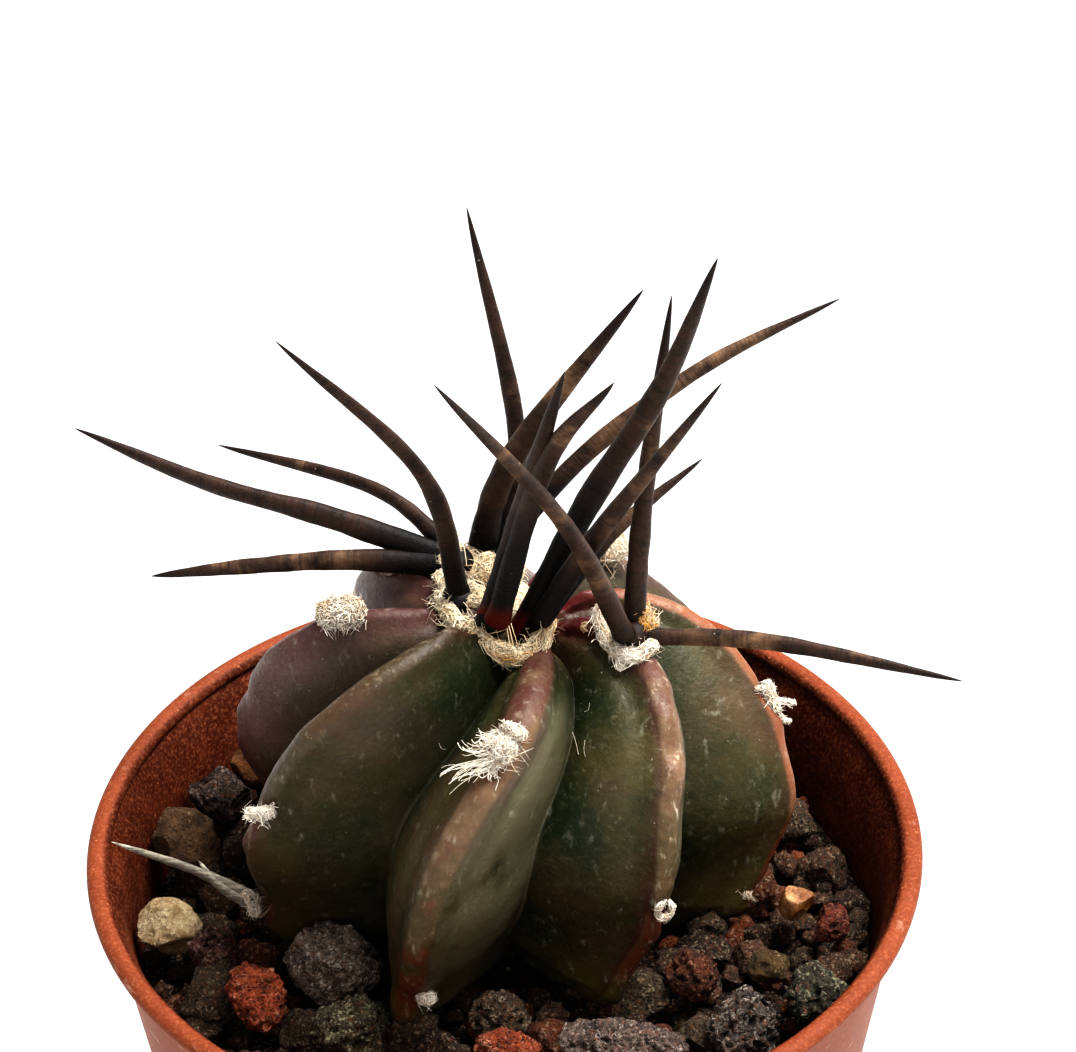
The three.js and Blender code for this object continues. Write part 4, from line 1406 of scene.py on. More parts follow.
@dataclass
class CactusBody:
    """The globe's skin: crests, flanks, furrows, underside and root in one closed surface."""

    effects: Effects
    globe: Globe
    levels: int = 144
    under_levels: int = 30
    cap_steps: int = 8
    flank_steps: int = 15
    cap_shoulder: float = 64.0
    rounding: int = 5
    shoulder_share: float = 0.2
    crest_lumps: float = 0.2
    flank_swell: float = 0.35
    fine_relief: float = 0.03
    groove: float = 0.32
    habits: tuple[str, ...] = ("purple", "pale", "knobs", "red")

    def half(self, rib: Rib, furrow: Rib, t: Array, side: int) -> tuple[Array, Array]:
        """Makes half a rib's surface.

        Args:
            rib: The rib.
            furrow: The furrow on that side.
            t: The levels.
            side: 1 anticlockwise of the crest, -1 clockwise.

        Returns:
            Places by level and step from the crest to the furrow, and how far each step is from
            the crest: up to 1 on the cap, and from 1 to 2 over the flank.
        """
        globe = self.globe
        cap = along(globe.cap, t)[:, None] * rib.cap
        centre = globe.crest(rib, t, cap[:, 0])
        relief = globe.relief(rib, t)[:, None]
        valley = globe.valley(furrow, t)
        away = unit(globe.crest(rib, t, -1.0) - globe.crest(rib, t))
        down = globe.crest(rib, np.minimum(t + 0.02, 1)) - globe.crest(rib, np.maximum(t - 0.02, 0))
        across = unit(np.cross(away, down)) * side
        angles = np.radians(np.linspace(0, self.cap_shoulder, self.cap_steps))
        fade = np.cos(angles / angles[-1] * math.pi / 2) ** 1.2
        arc = [centre + away * (cap * math.cos(a) + relief * f) + across * cap * math.sin(a)
               for a, f in zip(angles, fade)]
        shoulder = arc[-1]
        bulge = along(globe.bulge, t)[:, None]
        control = (shoulder + valley) / 2 + 2 * bulge * (across + away * 0.5)
        steps = np.linspace(0, 1, self.flank_steps + 1)[1:]
        steps = 0.5 * (steps + smooth_step(0, 1, steps))
        flank = [(1 - u) ** 2 * shoulder + 2 * u * (1 - u) * control + u * u * valley for u in steps]
        points = np.stack(arc + flank, axis=1)
        for _ in range(self.rounding):
            points[:, 1:-1] = 0.5 * points[:, 1:-1] + 0.25 * (points[:, :-2] + points[:, 2:])
        return points, np.concatenate([np.linspace(0, 1, self.cap_steps), 1 + steps])

    def surface(self) -> tuple[Array, Array]:
        """Makes the whole surface.

        Returns:
            Places by ring and column from the crown to the root, and eight values of each: how far
            from the crest, level, purple and nearness of an areole, then the paleness and knobs of
            the crest, the side of the rib and the red of its crown.
        """
        globe = self.globe
        t = np.linspace(0, 1, self.levels + 1)
        columns, looks, stations = [], [], []
        for index, rib in enumerate(globe.ribs):
            near = np.max([np.exp(-((t - a - 0.02) / 0.045) ** 2) for a in rib.areoles], axis=0)
            for furrow, side in ((globe.between(index - 1), -1), (globe.between(index), 1)):
                points, reach = self.half(rib, furrow, t, side)
                order = np.arange(1, len(reach))
                if side < 0:
                    order = np.concatenate([order[::-1][1:], [0]])
                flank = np.clip(reach - 1, 0, 1)
                purple, pale, knobs, red = (
                    getattr(rib, name) + (getattr(furrow, name) - getattr(rib, name)) * flank
                    for name in self.habits)
                local = near[:, None] * (1 - smooth_step(0.9, 1.5, reach))
                wide = 1 + (max(rib.cap, 1.0) - 1) * smooth_step(0.35, 0.5, t)[:, None]
                seen = np.minimum(reach * wide, np.maximum(reach, 1.0))
                look = np.broadcast_arrays(seen / 2, t[:, None], purple, local, pale, knobs,
                                           0.5 + 0.25 * side * reach, red)
                columns.append(points[:, order])
                looks.append(np.stack(look, axis=-1)[:, order])
                share = np.where(reach < 1, self.shoulder_share * reach,
                                 self.shoulder_share + (1 - self.shoulder_share) * flank)
                turn = (furrow.azimuth - rib.azimuth + 180) % 360 - 180
                stations += [(share[k], rib.azimuth + share[k] * turn) for k in order]
        places, under = self._with_underside(np.concatenate(columns, axis=1), stations)
        look = np.concatenate(looks, axis=1)
        return places, np.concatenate([look, np.repeat(look[-1:], under, axis=0)])

    def _with_underside(self, places: Array,
                        stations: Sequence[tuple[float, float]]) -> tuple[Array, int]:
        """Adds the rings under the globe and down the root, and returns how many they are.

        Args:
            places: The places above.
            stations: Each column's share of the flank and its azimuth.

        Returns:
            All places, and how many rings were added.
        """
        globe = self.globe
        share = np.array([s for s, _ in stations])
        azimuth = np.array([a for _, a in stations]) + globe.twist[-1]
        rings = [places[-1]]
        for foot, hollow in zip(globe.crest_foot + globe.root, globe.furrow_foot + globe.root):
            radius = foot[0] + (hollow[0] - foot[0]) * share
            height = foot[1] + (hollow[1] - foot[1]) * share
            rings.append(globe.at(radius, azimuth, height))
        t = np.linspace(0, 1, self.under_levels + 1)[1:] ** 1.5
        return np.concatenate([places, along(np.array(rings), t)]), len(t)

    def build(self) -> None:
        """Makes the globe."""
        places, looks = self.surface()
        form = self.globe
        crown, tip = form.at(0, 0, form.height[0] - form.dimple), form.at(0, 0, -form.root_tip)
        points, faces = closed_skin(places, crown, tip)
        ends = [[1, 0, 0.3, 0, 0.3, 0.3, 0.5, 0], [1, 1, 0.3, 0, 0.3, 0.3, 0.5, 1]]
        looks = np.concatenate([looks.reshape(-1, 8), ends])
        globe = mesh_object("globe", points, faces)
        store(globe, "growth", looks[:, :4])
        store(globe, "habit", looks[:, 4:])
        outward(globe)
        move_points(globe, points + normals(globe) * self._roughness(points, looks)[:, None])
        finished(globe, CactusSkin().material(self.effects), "skin", "cactus_body")

    def _roughness(self, points: Array, looks: Array) -> Array:
        """Returns how far the skin stands out: knobs along the crests, slow swells on the flanks and
        fine grain.

        Args:
            points: The skin's places.
            looks: Their eight values.

        Returns:
            One height for each place.
        """
        reach, level, pale, knobs = looks[:, 0], looks[:, 1], looks[:, 4], looks[:, 5]
        crest = 1 - smooth_step(0.4, 0.62, reach)
        furrow = smooth_step(0.8, 1.0, reach)
        lumps = (drift(points, 2.4, 3.0) + 0.5 * drift(points, 0.9, 31.0)) * crest * knobs * self.crest_lumps
        welt = -self.groove * np.exp(-(((reach - 0.57) / 0.05) ** 2)) * pale * (level > 0.08)
        swells = drift(points, 8.0, 11.0) * (1 - crest) * (1 - furrow) * self.flank_swell
        return lumps + welt + swells + drift(points, 0.9, 21.0) * self.fine_relief


@dataclass(frozen=True)
class Spine:
    """One spine: the points it runs through, measured from the widest ring of the lip, and its looks."""

    path: Path
    width: float = 1.8
    redness: float = 0.0
    turn: float = 0.5


@dataclass
class SpineBunch:
    """The spines of one areole on their woody root."""

    node: str
    spines: tuple[Spine, ...]
    material: Material
    slot: str
    knob: float = 1.2
    sides: int = 20
    steps: int = 110
    ring_depth: float = 0.045
    flatness: float = 0.72
    swelling: float = 0.22
    swelling_reach: float = 0.05
    taper_power: float = 2.4
    point: float = 0.66
    finest: float = 0.03
    slimness: float = 0.88

    def guide(self, spine: Spine, index: int) -> Solid:
        """Makes a spine's guide: its centreline with two directions and a half width at each point.

        Args:
            spine: The spine.
            index: Its index in the bunch.

        Returns:
            The guide.
        """
        s = np.linspace(0, 1, self.steps) ** 1.08
        centre = along(np.array(spine.path) + LIP, s)
        ahead = unit(np.gradient(centre, axis=0))
        broad = carried(ahead, np.cross(ahead[0], (0, 1, 0)))
        thin = np.cross(ahead, broad)
        turn = (spine.turn * drift(np.column_stack([s * 30, s * 0 + index * 7, s * 0]), 11.0))[:, None]
        broad, thin = broad * np.cos(turn) + thin * np.sin(turn), thin * np.cos(turn) - broad * np.sin(turn)
        width = self.slimness * spine.width / 2 * (1 + self.swelling * np.exp(-s / self.swelling_reach))
        width *= np.maximum(1 - s**self.taper_power, 0) ** self.point * smooth_step(-0.02, 0.012, s)
        width *= 1 + 0.08 * drift(np.column_stack([s * 30, s * 0 + index * 3, s * 0 + 5]), 2.2)
        width = np.maximum(width, self.finest * smooth_step(0, 0.006, s))
        run = np.concatenate([[0], np.cumsum(np.linalg.norm(np.diff(centre, axis=0), axis=1))])
        draw = np.full_like(s, (index * 0.37 + 0.13) % 1)
        guide = line_object("spine guide", centre)
        for name, values in (("broad", broad), ("thin", thin * self.flatness), ("half", width * MM),
                             ("measure", np.column_stack([s, run, draw])),
                             ("glow", np.full_like(s, spine.redness))):
            store(guide, name, values)
        return guide

    @staticmethod
    def tree() -> Tree:
        """Builds the nodes that sweep a flattened, ringed horn along its guide.

        Returns:
            The tree.
        """
        tree = Tree("horn sweep", {"Sides": 16, "Ring Depth": 0.03, "Ring Density": 1.8})
        graph = tree.graph
        tube, ring, cosine, sine = tree.tube()
        centre = tree.sampled(tree.place(), ring)
        broad, thin, measure = (tree.sampled(tree.named(name, "FLOAT_VECTOR"), ring)
                                for name in ("broad", "thin", "measure"))
        half, glow = (tree.sampled(tree.named(name), ring) for name in ("half", "glow"))
        _, run, draw = graph.split(measure)
        across = graph.lifted(cosine, 0.25, graph.times(draw, SPINE_SHIFT))
        where = graph.combined(run, across, graph.times(sine, 0.25))
        rings = graph.minus(graph.cloud(where, tree.inputs["Ring Density"], 3.0, 0.6), 0.5)
        swell = graph.lifted(rings, graph.times(tree.inputs["Ring Depth"], 2.0), 1.0)
        offset = graph.vector("ADD", graph.vector("SCALE", broad, scale=cosine),
                              graph.vector("SCALE", thin, scale=sine))
        spot = graph.vector("ADD", centre, graph.vector("SCALE", offset, scale=graph.times(half, swell)))
        marked = tree.stored(tree.stored(tube, "spine", measure), "redness", glow)
        horn = tree.step("SetPosition", {"Geometry": marked, "Position": spot})
        tree.close(tree.step("MergeByDistance", {"Geometry": horn, "Distance": 2e-6}))
        return tree

    def build(self, tree: Tree) -> None:
        """Makes the bunch as one piece, by the horn sweep's nodes.

        Args:
            tree: The horn sweep.
        """
        parts = []
        for index, spine in enumerate(self.spines):
            horn = tree.run(self.guide(spine, index), f"{self.node}_{index}", {
                "Sides": self.sides, "Ring Depth": self.ring_depth, "Material": self.material})
            parts.append(outward(horn, 1e-3))
        parts.append(self._root())
        finished(joined(f"horns_{self.node}", parts), self.material, self.slot, self.node)

    def _root(self) -> Solid:
        """Makes the woody root that the spines stand on.

        Returns:
            The root.
        """
        middle = np.mean([spine.path[0] for spine in self.spines], axis=0) + LIP
        points, faces = ball(3, self.knob)
        points = points * (1 + 0.12 * drift(points, 0.8, middle[0]))[:, None] * (1.1, 1.1, 0.85) + middle
        root = mesh_object("root", points, faces)
        store(root, "spine", np.tile([0.03, 0.5, 0.4], (len(points), 1)))
        store(root, "redness", np.zeros(len(points)))
        return root


SPINES: dict[str, tuple[Spine, ...]] = {
    "spines_rib_1": (
        Spine(((-2.9, 3.2, 22), (-5.4, 0.6, 35.6), (-15.2, -3, 50))),
    ),
    "spines_rib_2": (
        Spine(((-0.7, 0.2, 22.4), (2.3, -5, 37.7), (5.1, -10, 51.8)), 2.0, 1.0),
        Spine(((-0.2, -0.8, 22.5), (3.7, -6.8, 41.6), (8.5, -11, 51.5)), 2.0, 0.8),
    ),
    "spines_rib_3": (
        Spine(((1.7, 1, 20), (6.5, -0.2, 32.6), (12.2, -1.3, 44.4), (16, -2.5, 56)), 2.45, 1.0),
        Spine(((2.3, 0.4, 20.2), (7, -3.9, 32.4), (15.9, -12, 52)), 2.0, 0.3),
        Spine(((2.9, 1.5, 20.2), (8.6, 4.8, 26.5), (15.5, 8, 31)), 1.5),
    ),
    "spines_rib_4": (
        Spine(((10.1, 0.2, 21.2), (10.9, 1.2, 32), (13, 3, 49.2)), 1.9),
        Spine(((9.5, -1, 21.2), (4.9, -7.8, 37.1), (-3.7, -18, 56.5))),
        Spine(((10.8, -0.4, 20.8), (20.4, -3, 22), (34.2, -7, 21.2))),
    ),
    "spines_rib_7": (
        Spine(((-0.5, 11.6, 18.9), (1.6, 13.8, 29.1), (-1.8, 18, 47.4)), 1.95),
        Spine(((-1.7, 11.2, 19.2), (1.3, 11.3, 29.2), (11.2, 11.6, 44)), 2.5),
        Spine(((-0.8, 11.8, 18.6), (6.7, 14.5, 26.8), (16.2, 17.3, 33.1), (26.5, 20, 37.2))),
    ),
    "spines_rib_8": (
        Spine(((-3.2, 8.6, 21.3), (-12.8, 11.3, 23.7), (-22.4, 14, 25.3), (-32.5, 17, 28.5)), 2.25),
        Spine(((-3.1, 9, 21.5), (-9.4, 13.4, 24.8), (-21.8, 20, 24.5)), 1.6),
        Spine(((-3.3, 8.2, 21.2), (-11.3, 9.2, 21.2), (-19, 10.1, 20.1), (-26.9, 11, 18.6)), 2.15),
    ),
}
OLD_SPINES: tuple[Spine, ...] = (
    Spine(((-19.4, -4.6, -0.9), (-24, -3.4, 1), (-30.3, -2, 2.8)), 1.15),
    Spine(((-20, -4.8, -1.2), (-22.2, -4.2, 0.2), (-23.6, -3, 1.6)), 1.0),
)
# How weathered each bunch's horn is, and up to which share of its length it is black.
HORNS = {
    "spines_rib_1": (0.35, 0.2), "spines_rib_2": (0.5, 0.34), "spines_rib_3": (0.7, 0.4),
    "spines_rib_4": (0.8, 0.04), "spines_rib_7": (0.9, 0.26), "spines_rib_8": (0.4, 0.2),
}


@dataclass(frozen=True)
class Lock:
    """One lock of wool: felt laid along a path, with fibres that wander over it.

    The path's places are measured from the widest ring of the pot's lip. One place makes a ball.
    """

    path: Path
    radius: float
    fibres: int
    length: float = 2.2
    tone: float = 0.2
    curl: float = 0.35
    lay: float = 0.5
    fuzz: float = 0.3
    thickness: float = 0.03
    blunt: float = 5.0
    crimp: float = 0.035


@dataclass(frozen=True)
class Hair:
    """A single long hair: its places, measured from the widest ring of the lip, and its thickness."""

    path: Path
    thickness: float = 0.035
    tone: float = 0.1


@dataclass(frozen=True)
class Tuft:
    """The wool of one areole or of the crown: its node, its locks and its single hairs."""

    node: str
    locks: tuple[Lock, ...]
    hairs: tuple[Hair, ...] = ()


@dataclass
class Wool:
    """Plant wool: felted cores with curly fibres over them, each fibre a thin tube."""

    tree: Tree
    segments: int = 8
    hair_segments: int = 16
    stations: int = 40
    sides: int = 18
    thinnest_felt: float = 0.5
    golden_from: float = 0.3

    @staticmethod
    def fibre_tree() -> Tree:
        """Builds the nodes that make each guide line a thin closed tube.

        Returns:
            The tree.
        """
        tree = Tree("fibres", {"Sides": 3})
        lines = tree.step("MeshToCurve", {"Mesh": tree.inputs["Geometry"]})
        section = tree.step("CurvePrimitiveCircle", {"Resolution": tree.inputs["Sides"], "Radius": 1.0})
        tree.close(tree.step("CurveToMesh", {
            "Curve": lines, "Profile Curve": section, "Scale": tree.named("thickness"), "Fill Caps": True}))
        return tree

    def table(self, lock: Lock) -> Array:
        """Returns a lock's middle line, its two side directions and its radius at every station.

        Args:
            lock: The lock.

        Returns:
            Ten values for each station.
        """
        path, blunt = np.array(lock.path, float) + LIP, lock.blunt
        if len(path) == 1:
            path = path + np.array([(0, 0, 0.95), (0, 0, 0), (0, 0, -0.95)]) * lock.radius
            blunt = 2.0
        u = np.linspace(0, 1, self.stations)
        middle = along(path, u)
        ahead = unit(np.gradient(middle, axis=0))
        sides = carried(ahead, np.cross(ahead[0], (0.36, 0.93, 0.1)))
        radius = lock.radius * np.sqrt(np.maximum(1 - np.abs(2 * u - 1) ** blunt, 0.0))
        radius *= 1 + 0.32 * drift(middle, 1.0, 5.0)
        return np.column_stack([middle, sides, np.cross(ahead, sides), radius])

    @staticmethod
    def on(table: Array, u: Array, turn: Array, lift: Array) -> Array:
        """Returns places over a lock's surface.

        Args:
            table: The lock's table.
            u: How far along the lock, from 0 to 1.
            turn: The angle round it.
            lift: Height above the surface in millimetres.

        Returns:
            One place for each.
        """
        read = along(table, u)
        across = np.cos(turn)[..., None] * read[..., 3:6] + np.sin(turn)[..., None] * read[..., 6:9]
        return read[..., :3] + across * (np.maximum(read[..., 9], 0) + lift)[..., None]

    def fibres(self, lock: Lock, draw: np.random.Generator) -> tuple[Array, Array, Array]:
        """Lays a lock's fibres.

        Args:
            lock: The lock.
            draw: Where the draws come from.

        Returns:
            Places by fibre and step, thickness by fibre and step, and each fibre's tone and painted shade.
        """
        table = self.table(lock)
        span = max(float(np.linalg.norm(np.diff(table[:, :3], axis=0), axis=1).sum()), 1e-3)
        count, steps = lock.fibres, self.segments
        u, turn = 0.03 + 0.94 * draw.random(count), 2 * math.pi * draw.random(count)
        along_path = np.where(draw.random(count) < 0.5, 0, math.pi) + 0.35 * draw.normal(size=count)
        heading = np.where(draw.random(count) < lock.lay, along_path, 2 * math.pi * draw.random(count))
        bend = lock.curl * draw.normal(size=count)
        pace = lock.length * (0.5 + draw.random(count)) / (steps - 1)
        level = lock.radius * (0.16 * draw.random(count) - 0.1)
        ends = [-lock.fuzz * np.log(draw.random(count) + 0.02) * (draw.random(count) < 0.3) for _ in range(2)]
        path = []
        for step in range(steps):
            share = 2 * step / (steps - 1) - 1
            lift = level + ends[0] * max(share, 0) ** 2 + ends[1] * max(-share, 0) ** 2
            path.append(self.on(table, u, turn, lift))
            bend = bend + 0.5 * lock.curl * draw.normal(size=count)
            heading = heading + bend
            around = np.maximum(along(table[:, 9], u), 0.35 * lock.radius)
            u = np.clip(u + np.cos(heading) * pace / span, 0.01, 0.99)
            turn = turn + np.sin(heading) * pace / around
        waves = np.cumsum(draw.normal(size=(count, steps, 3)), axis=1)
        places = np.stack(path, axis=1) + lock.crimp * (waves - waves.mean(axis=1, keepdims=True))
        thick = lock.thickness * (0.6 + 0.8 * draw.random(count))[:, None]
        taper = np.minimum(1, 0.3 + 3 * np.minimum(np.linspace(0, 1, steps), np.linspace(1, 0, steps)))
        tone = np.clip(lock.tone + 0.22 * draw.normal(size=count), 0, 1)
        # The second value of each fibre is a random painted shade.
        return places, thick * taper, np.column_stack([tone, draw.random(count)])

    def strands(self, tuft: Tuft, seed: int, material: Material) -> Solid:
        """Makes the fibres of a tuft's locks and its single hairs as one mesh.

        Args:
            tuft: The tuft.
            seed: The seed of its fibres.
            material: The wool.

        Returns:
            The fibres.
        """
        draw = np.random.default_rng(seed)
        laid = [self.fibres(lock, draw) for lock in tuft.locks]
        for hair in tuft.hairs:
            path = along(np.array(hair.path) + LIP, np.linspace(0, 1, self.hair_segments))[None]
            thick = np.full((1, self.hair_segments), hair.thickness)
            laid.append((path, thick, np.array([[hair.tone, 0.5]])))
        points = np.concatenate([places.reshape(-1, 3) for places, _, _ in laid])
        thick = np.concatenate([t.ravel() for _, t, _ in laid])
        looks = np.concatenate([np.repeat(look, places.shape[1], axis=0) for places, _, look in laid])
        edges, first = [], 0
        for places, _, _ in laid:
            count, steps = places.shape[:2]
            starts = first + np.arange(count)[:, None] * steps + np.arange(steps - 1)
            edges += np.stack([starts, starts + 1], axis=-1).reshape(-1, 2).tolist()
            first += count * steps
        guide = mesh_object("fibre guides", points, [], edges)
        store(guide, "thickness", thick * MM)
        store(guide, "wool", np.column_stack([looks, np.zeros(len(points))]))
        return self.tree.run(guide, "strands", {"Material": material})

    def core(self, lock: Lock) -> Solid:
        """Makes the felt inside a lock, a little smaller than the shell of fibres.

        Args:
            lock: The lock.

        Returns:
            The felt.
        """
        table = self.table(lock)
        turns = np.linspace(0, 2 * math.pi, self.sides + 1)[:-1]
        grid_u, grid_turn = np.meshgrid(np.linspace(0.02, 0.98, self.stations), turns, indexing="ij")
        rings = self.on(table, grid_u, grid_turn, np.full(grid_u.shape, -0.2 * lock.radius))
        bumps = 0.12 * lock.radius * drift(rings, 0.3 * lock.radius, 9.0)
        rings = rings + unit(rings - table[self.stations // 2, :3]) * bumps[..., None]
        points, faces = closed_skin(rings, rings[0].mean(axis=0), rings[-1].mean(axis=0))
        core = mesh_object("felt", points, faces)
        # Painted shade: the felt is darkened, less in white locks than in golden ones, for the shade between
        # the fibres.
        shade = 0.4 if lock.tone < self.golden_from else 0.0
        store(core, "wool", np.tile([min(lock.tone + 0.1, 1), shade, 0], (len(points), 1)))
        return outward(core)

    def build(self, tuft: Tuft, seed: int, material: Material, slot: str) -> None:
        """Makes one tuft as a piece: its felt cores, its fibres and its single hairs.

        Args:
            tuft: The tuft.
            seed: The seed of its fibres.
            material: The wool.
            slot: The record's material slot.
        """
        parts = [self.core(lock) for lock in tuft.locks if lock.radius > self.thinnest_felt]
        parts.append(self.strands(tuft, seed, material))
        finished(joined(f"fleece_{tuft.node}", parts), material, slot, tuft.node)


def wisp(path: Path, count: int, spread: float, seed: int) -> tuple[Hair, ...]:
    """Draws loose hairs that start together and part along a path.

    Args:
        path: The path's places, measured from the widest ring of the lip.
        count: How many hairs.
        spread: How far they part, in millimetres.
        seed: The seed of the draws.

    Returns:
        The hairs.
    """
    draw = np.random.default_rng(seed)
    made = []
    for _ in range(count):
        steps = np.linspace(0, 0.35 + 0.65 * draw.random(), 14)
        places = along(np.array(path, float), steps) + 0.14 * draw.normal(size=3)
        places = places + np.outer(steps**1.4, spread * draw.normal(size=3))
        for waves in (6.0, 13.0):
            turns = waves * (steps[:, None] + draw.random(3)) * (0.7 + 0.6 * draw.random(3))
            places = places + np.sin(turns) * draw.normal(size=3) * (1.1 / waves)
        made.append(Hair(tuple(map(tuple, places)), 0.022 + 0.022 * draw.random(), 0.0))
    return tuple(made)


CROWN = Tuft("crown_wool", (
    Lock(((-4.3, 4.4, 21.3), (-4, 3.2, 21.5), (-3.6, 1.5, 21.6), (-2.6, -0.3, 21.8), (-1.4, -1.9, 22)), 0.68,
         560, 2.6, 0.08, 0.45, 0.6, 0.4, 0.042, 9.0, 0.06),
    Lock(((-1.8, -1.4, 22), (-1.4, -1.9, 22), (0, -2.7, 21.4), (1.4, -2.7, 20.8), (2.6, -2, 21),
         (3.4, -0.8, 21.5), (4, 0.4, 22.1)), 0.66, 560, 2.6, 0.3, 0.45, 0.6, 0.4, 0.042, 9.0, 0.06),
    Lock(((-2.9, 4.5, 21.7), (-2.2, 4, 22.3), (-1.4, 2.6, 22.5), (-2.6, 2.2, 22.1)), 0.5, 230, 2.4, 0.02,
         0.45, 0.6, 0.4),
    Lock(((-3.4, 4.6, 21), (-3.9, 6, 21.2), (-4.5, 7.4, 21.2)), 0.7, 330, 2.4, 0.0, 0.4, 0.5, 0.35),
    Lock(((-4.2, 7.6, 21.7), (-3.1, 9.4, 22.8)), 0.6, 190, 2.4, 0.0, 0.4, 0.5, 0.35),
    Lock(((-1.6, 6, 20.9), (-0.9, 6.8, 21.6), (-0.6, 8, 22.5)), 0.7, 250, 2.4, 0.3, 0.4, 0.5, 0.35),
    Lock(((1.2, 7.2, 20.4), (1, 9.6, 20.5), (1.2, 11.4, 19.6)), 0.9, 230, 2.6, 0.15),
    Lock(((0.2, 3, 20), (0.8, 5, 19.8), (1.6, 7.4, 19.2)), 1.4, 250, 2.8, 0.0),
    Lock(((-3.4, 8, 20.4), (-2.4, 10.4, 19.8), (-0.6, 12, 18.8)), 1.4, 190, 2.6, 0.15),
), (
    Hair(((1.1, -2.5, 21.6), (0.7, -1.2, 22.9), (0.1, 0.3, 23.9), (-0.2, 1.6, 24.2)), 0.05, 0.6),
    Hair(((0.8, -2.3, 21.7), (0.5, -0.9, 23.1), (0.2, 0.6, 24)), 0.04, 0.4),
    Hair(((1.5, -2.4, 21.2), (1, -1.2, 22.5), (0.6, 0, 23.4)), 0.04, 0.5),
    Hair(((-2.4, 6.6, 22.4), (-2.6, 7.4, 23.6), (-3.1, 8.4, 24.2)), 0.04, 0.1),
))
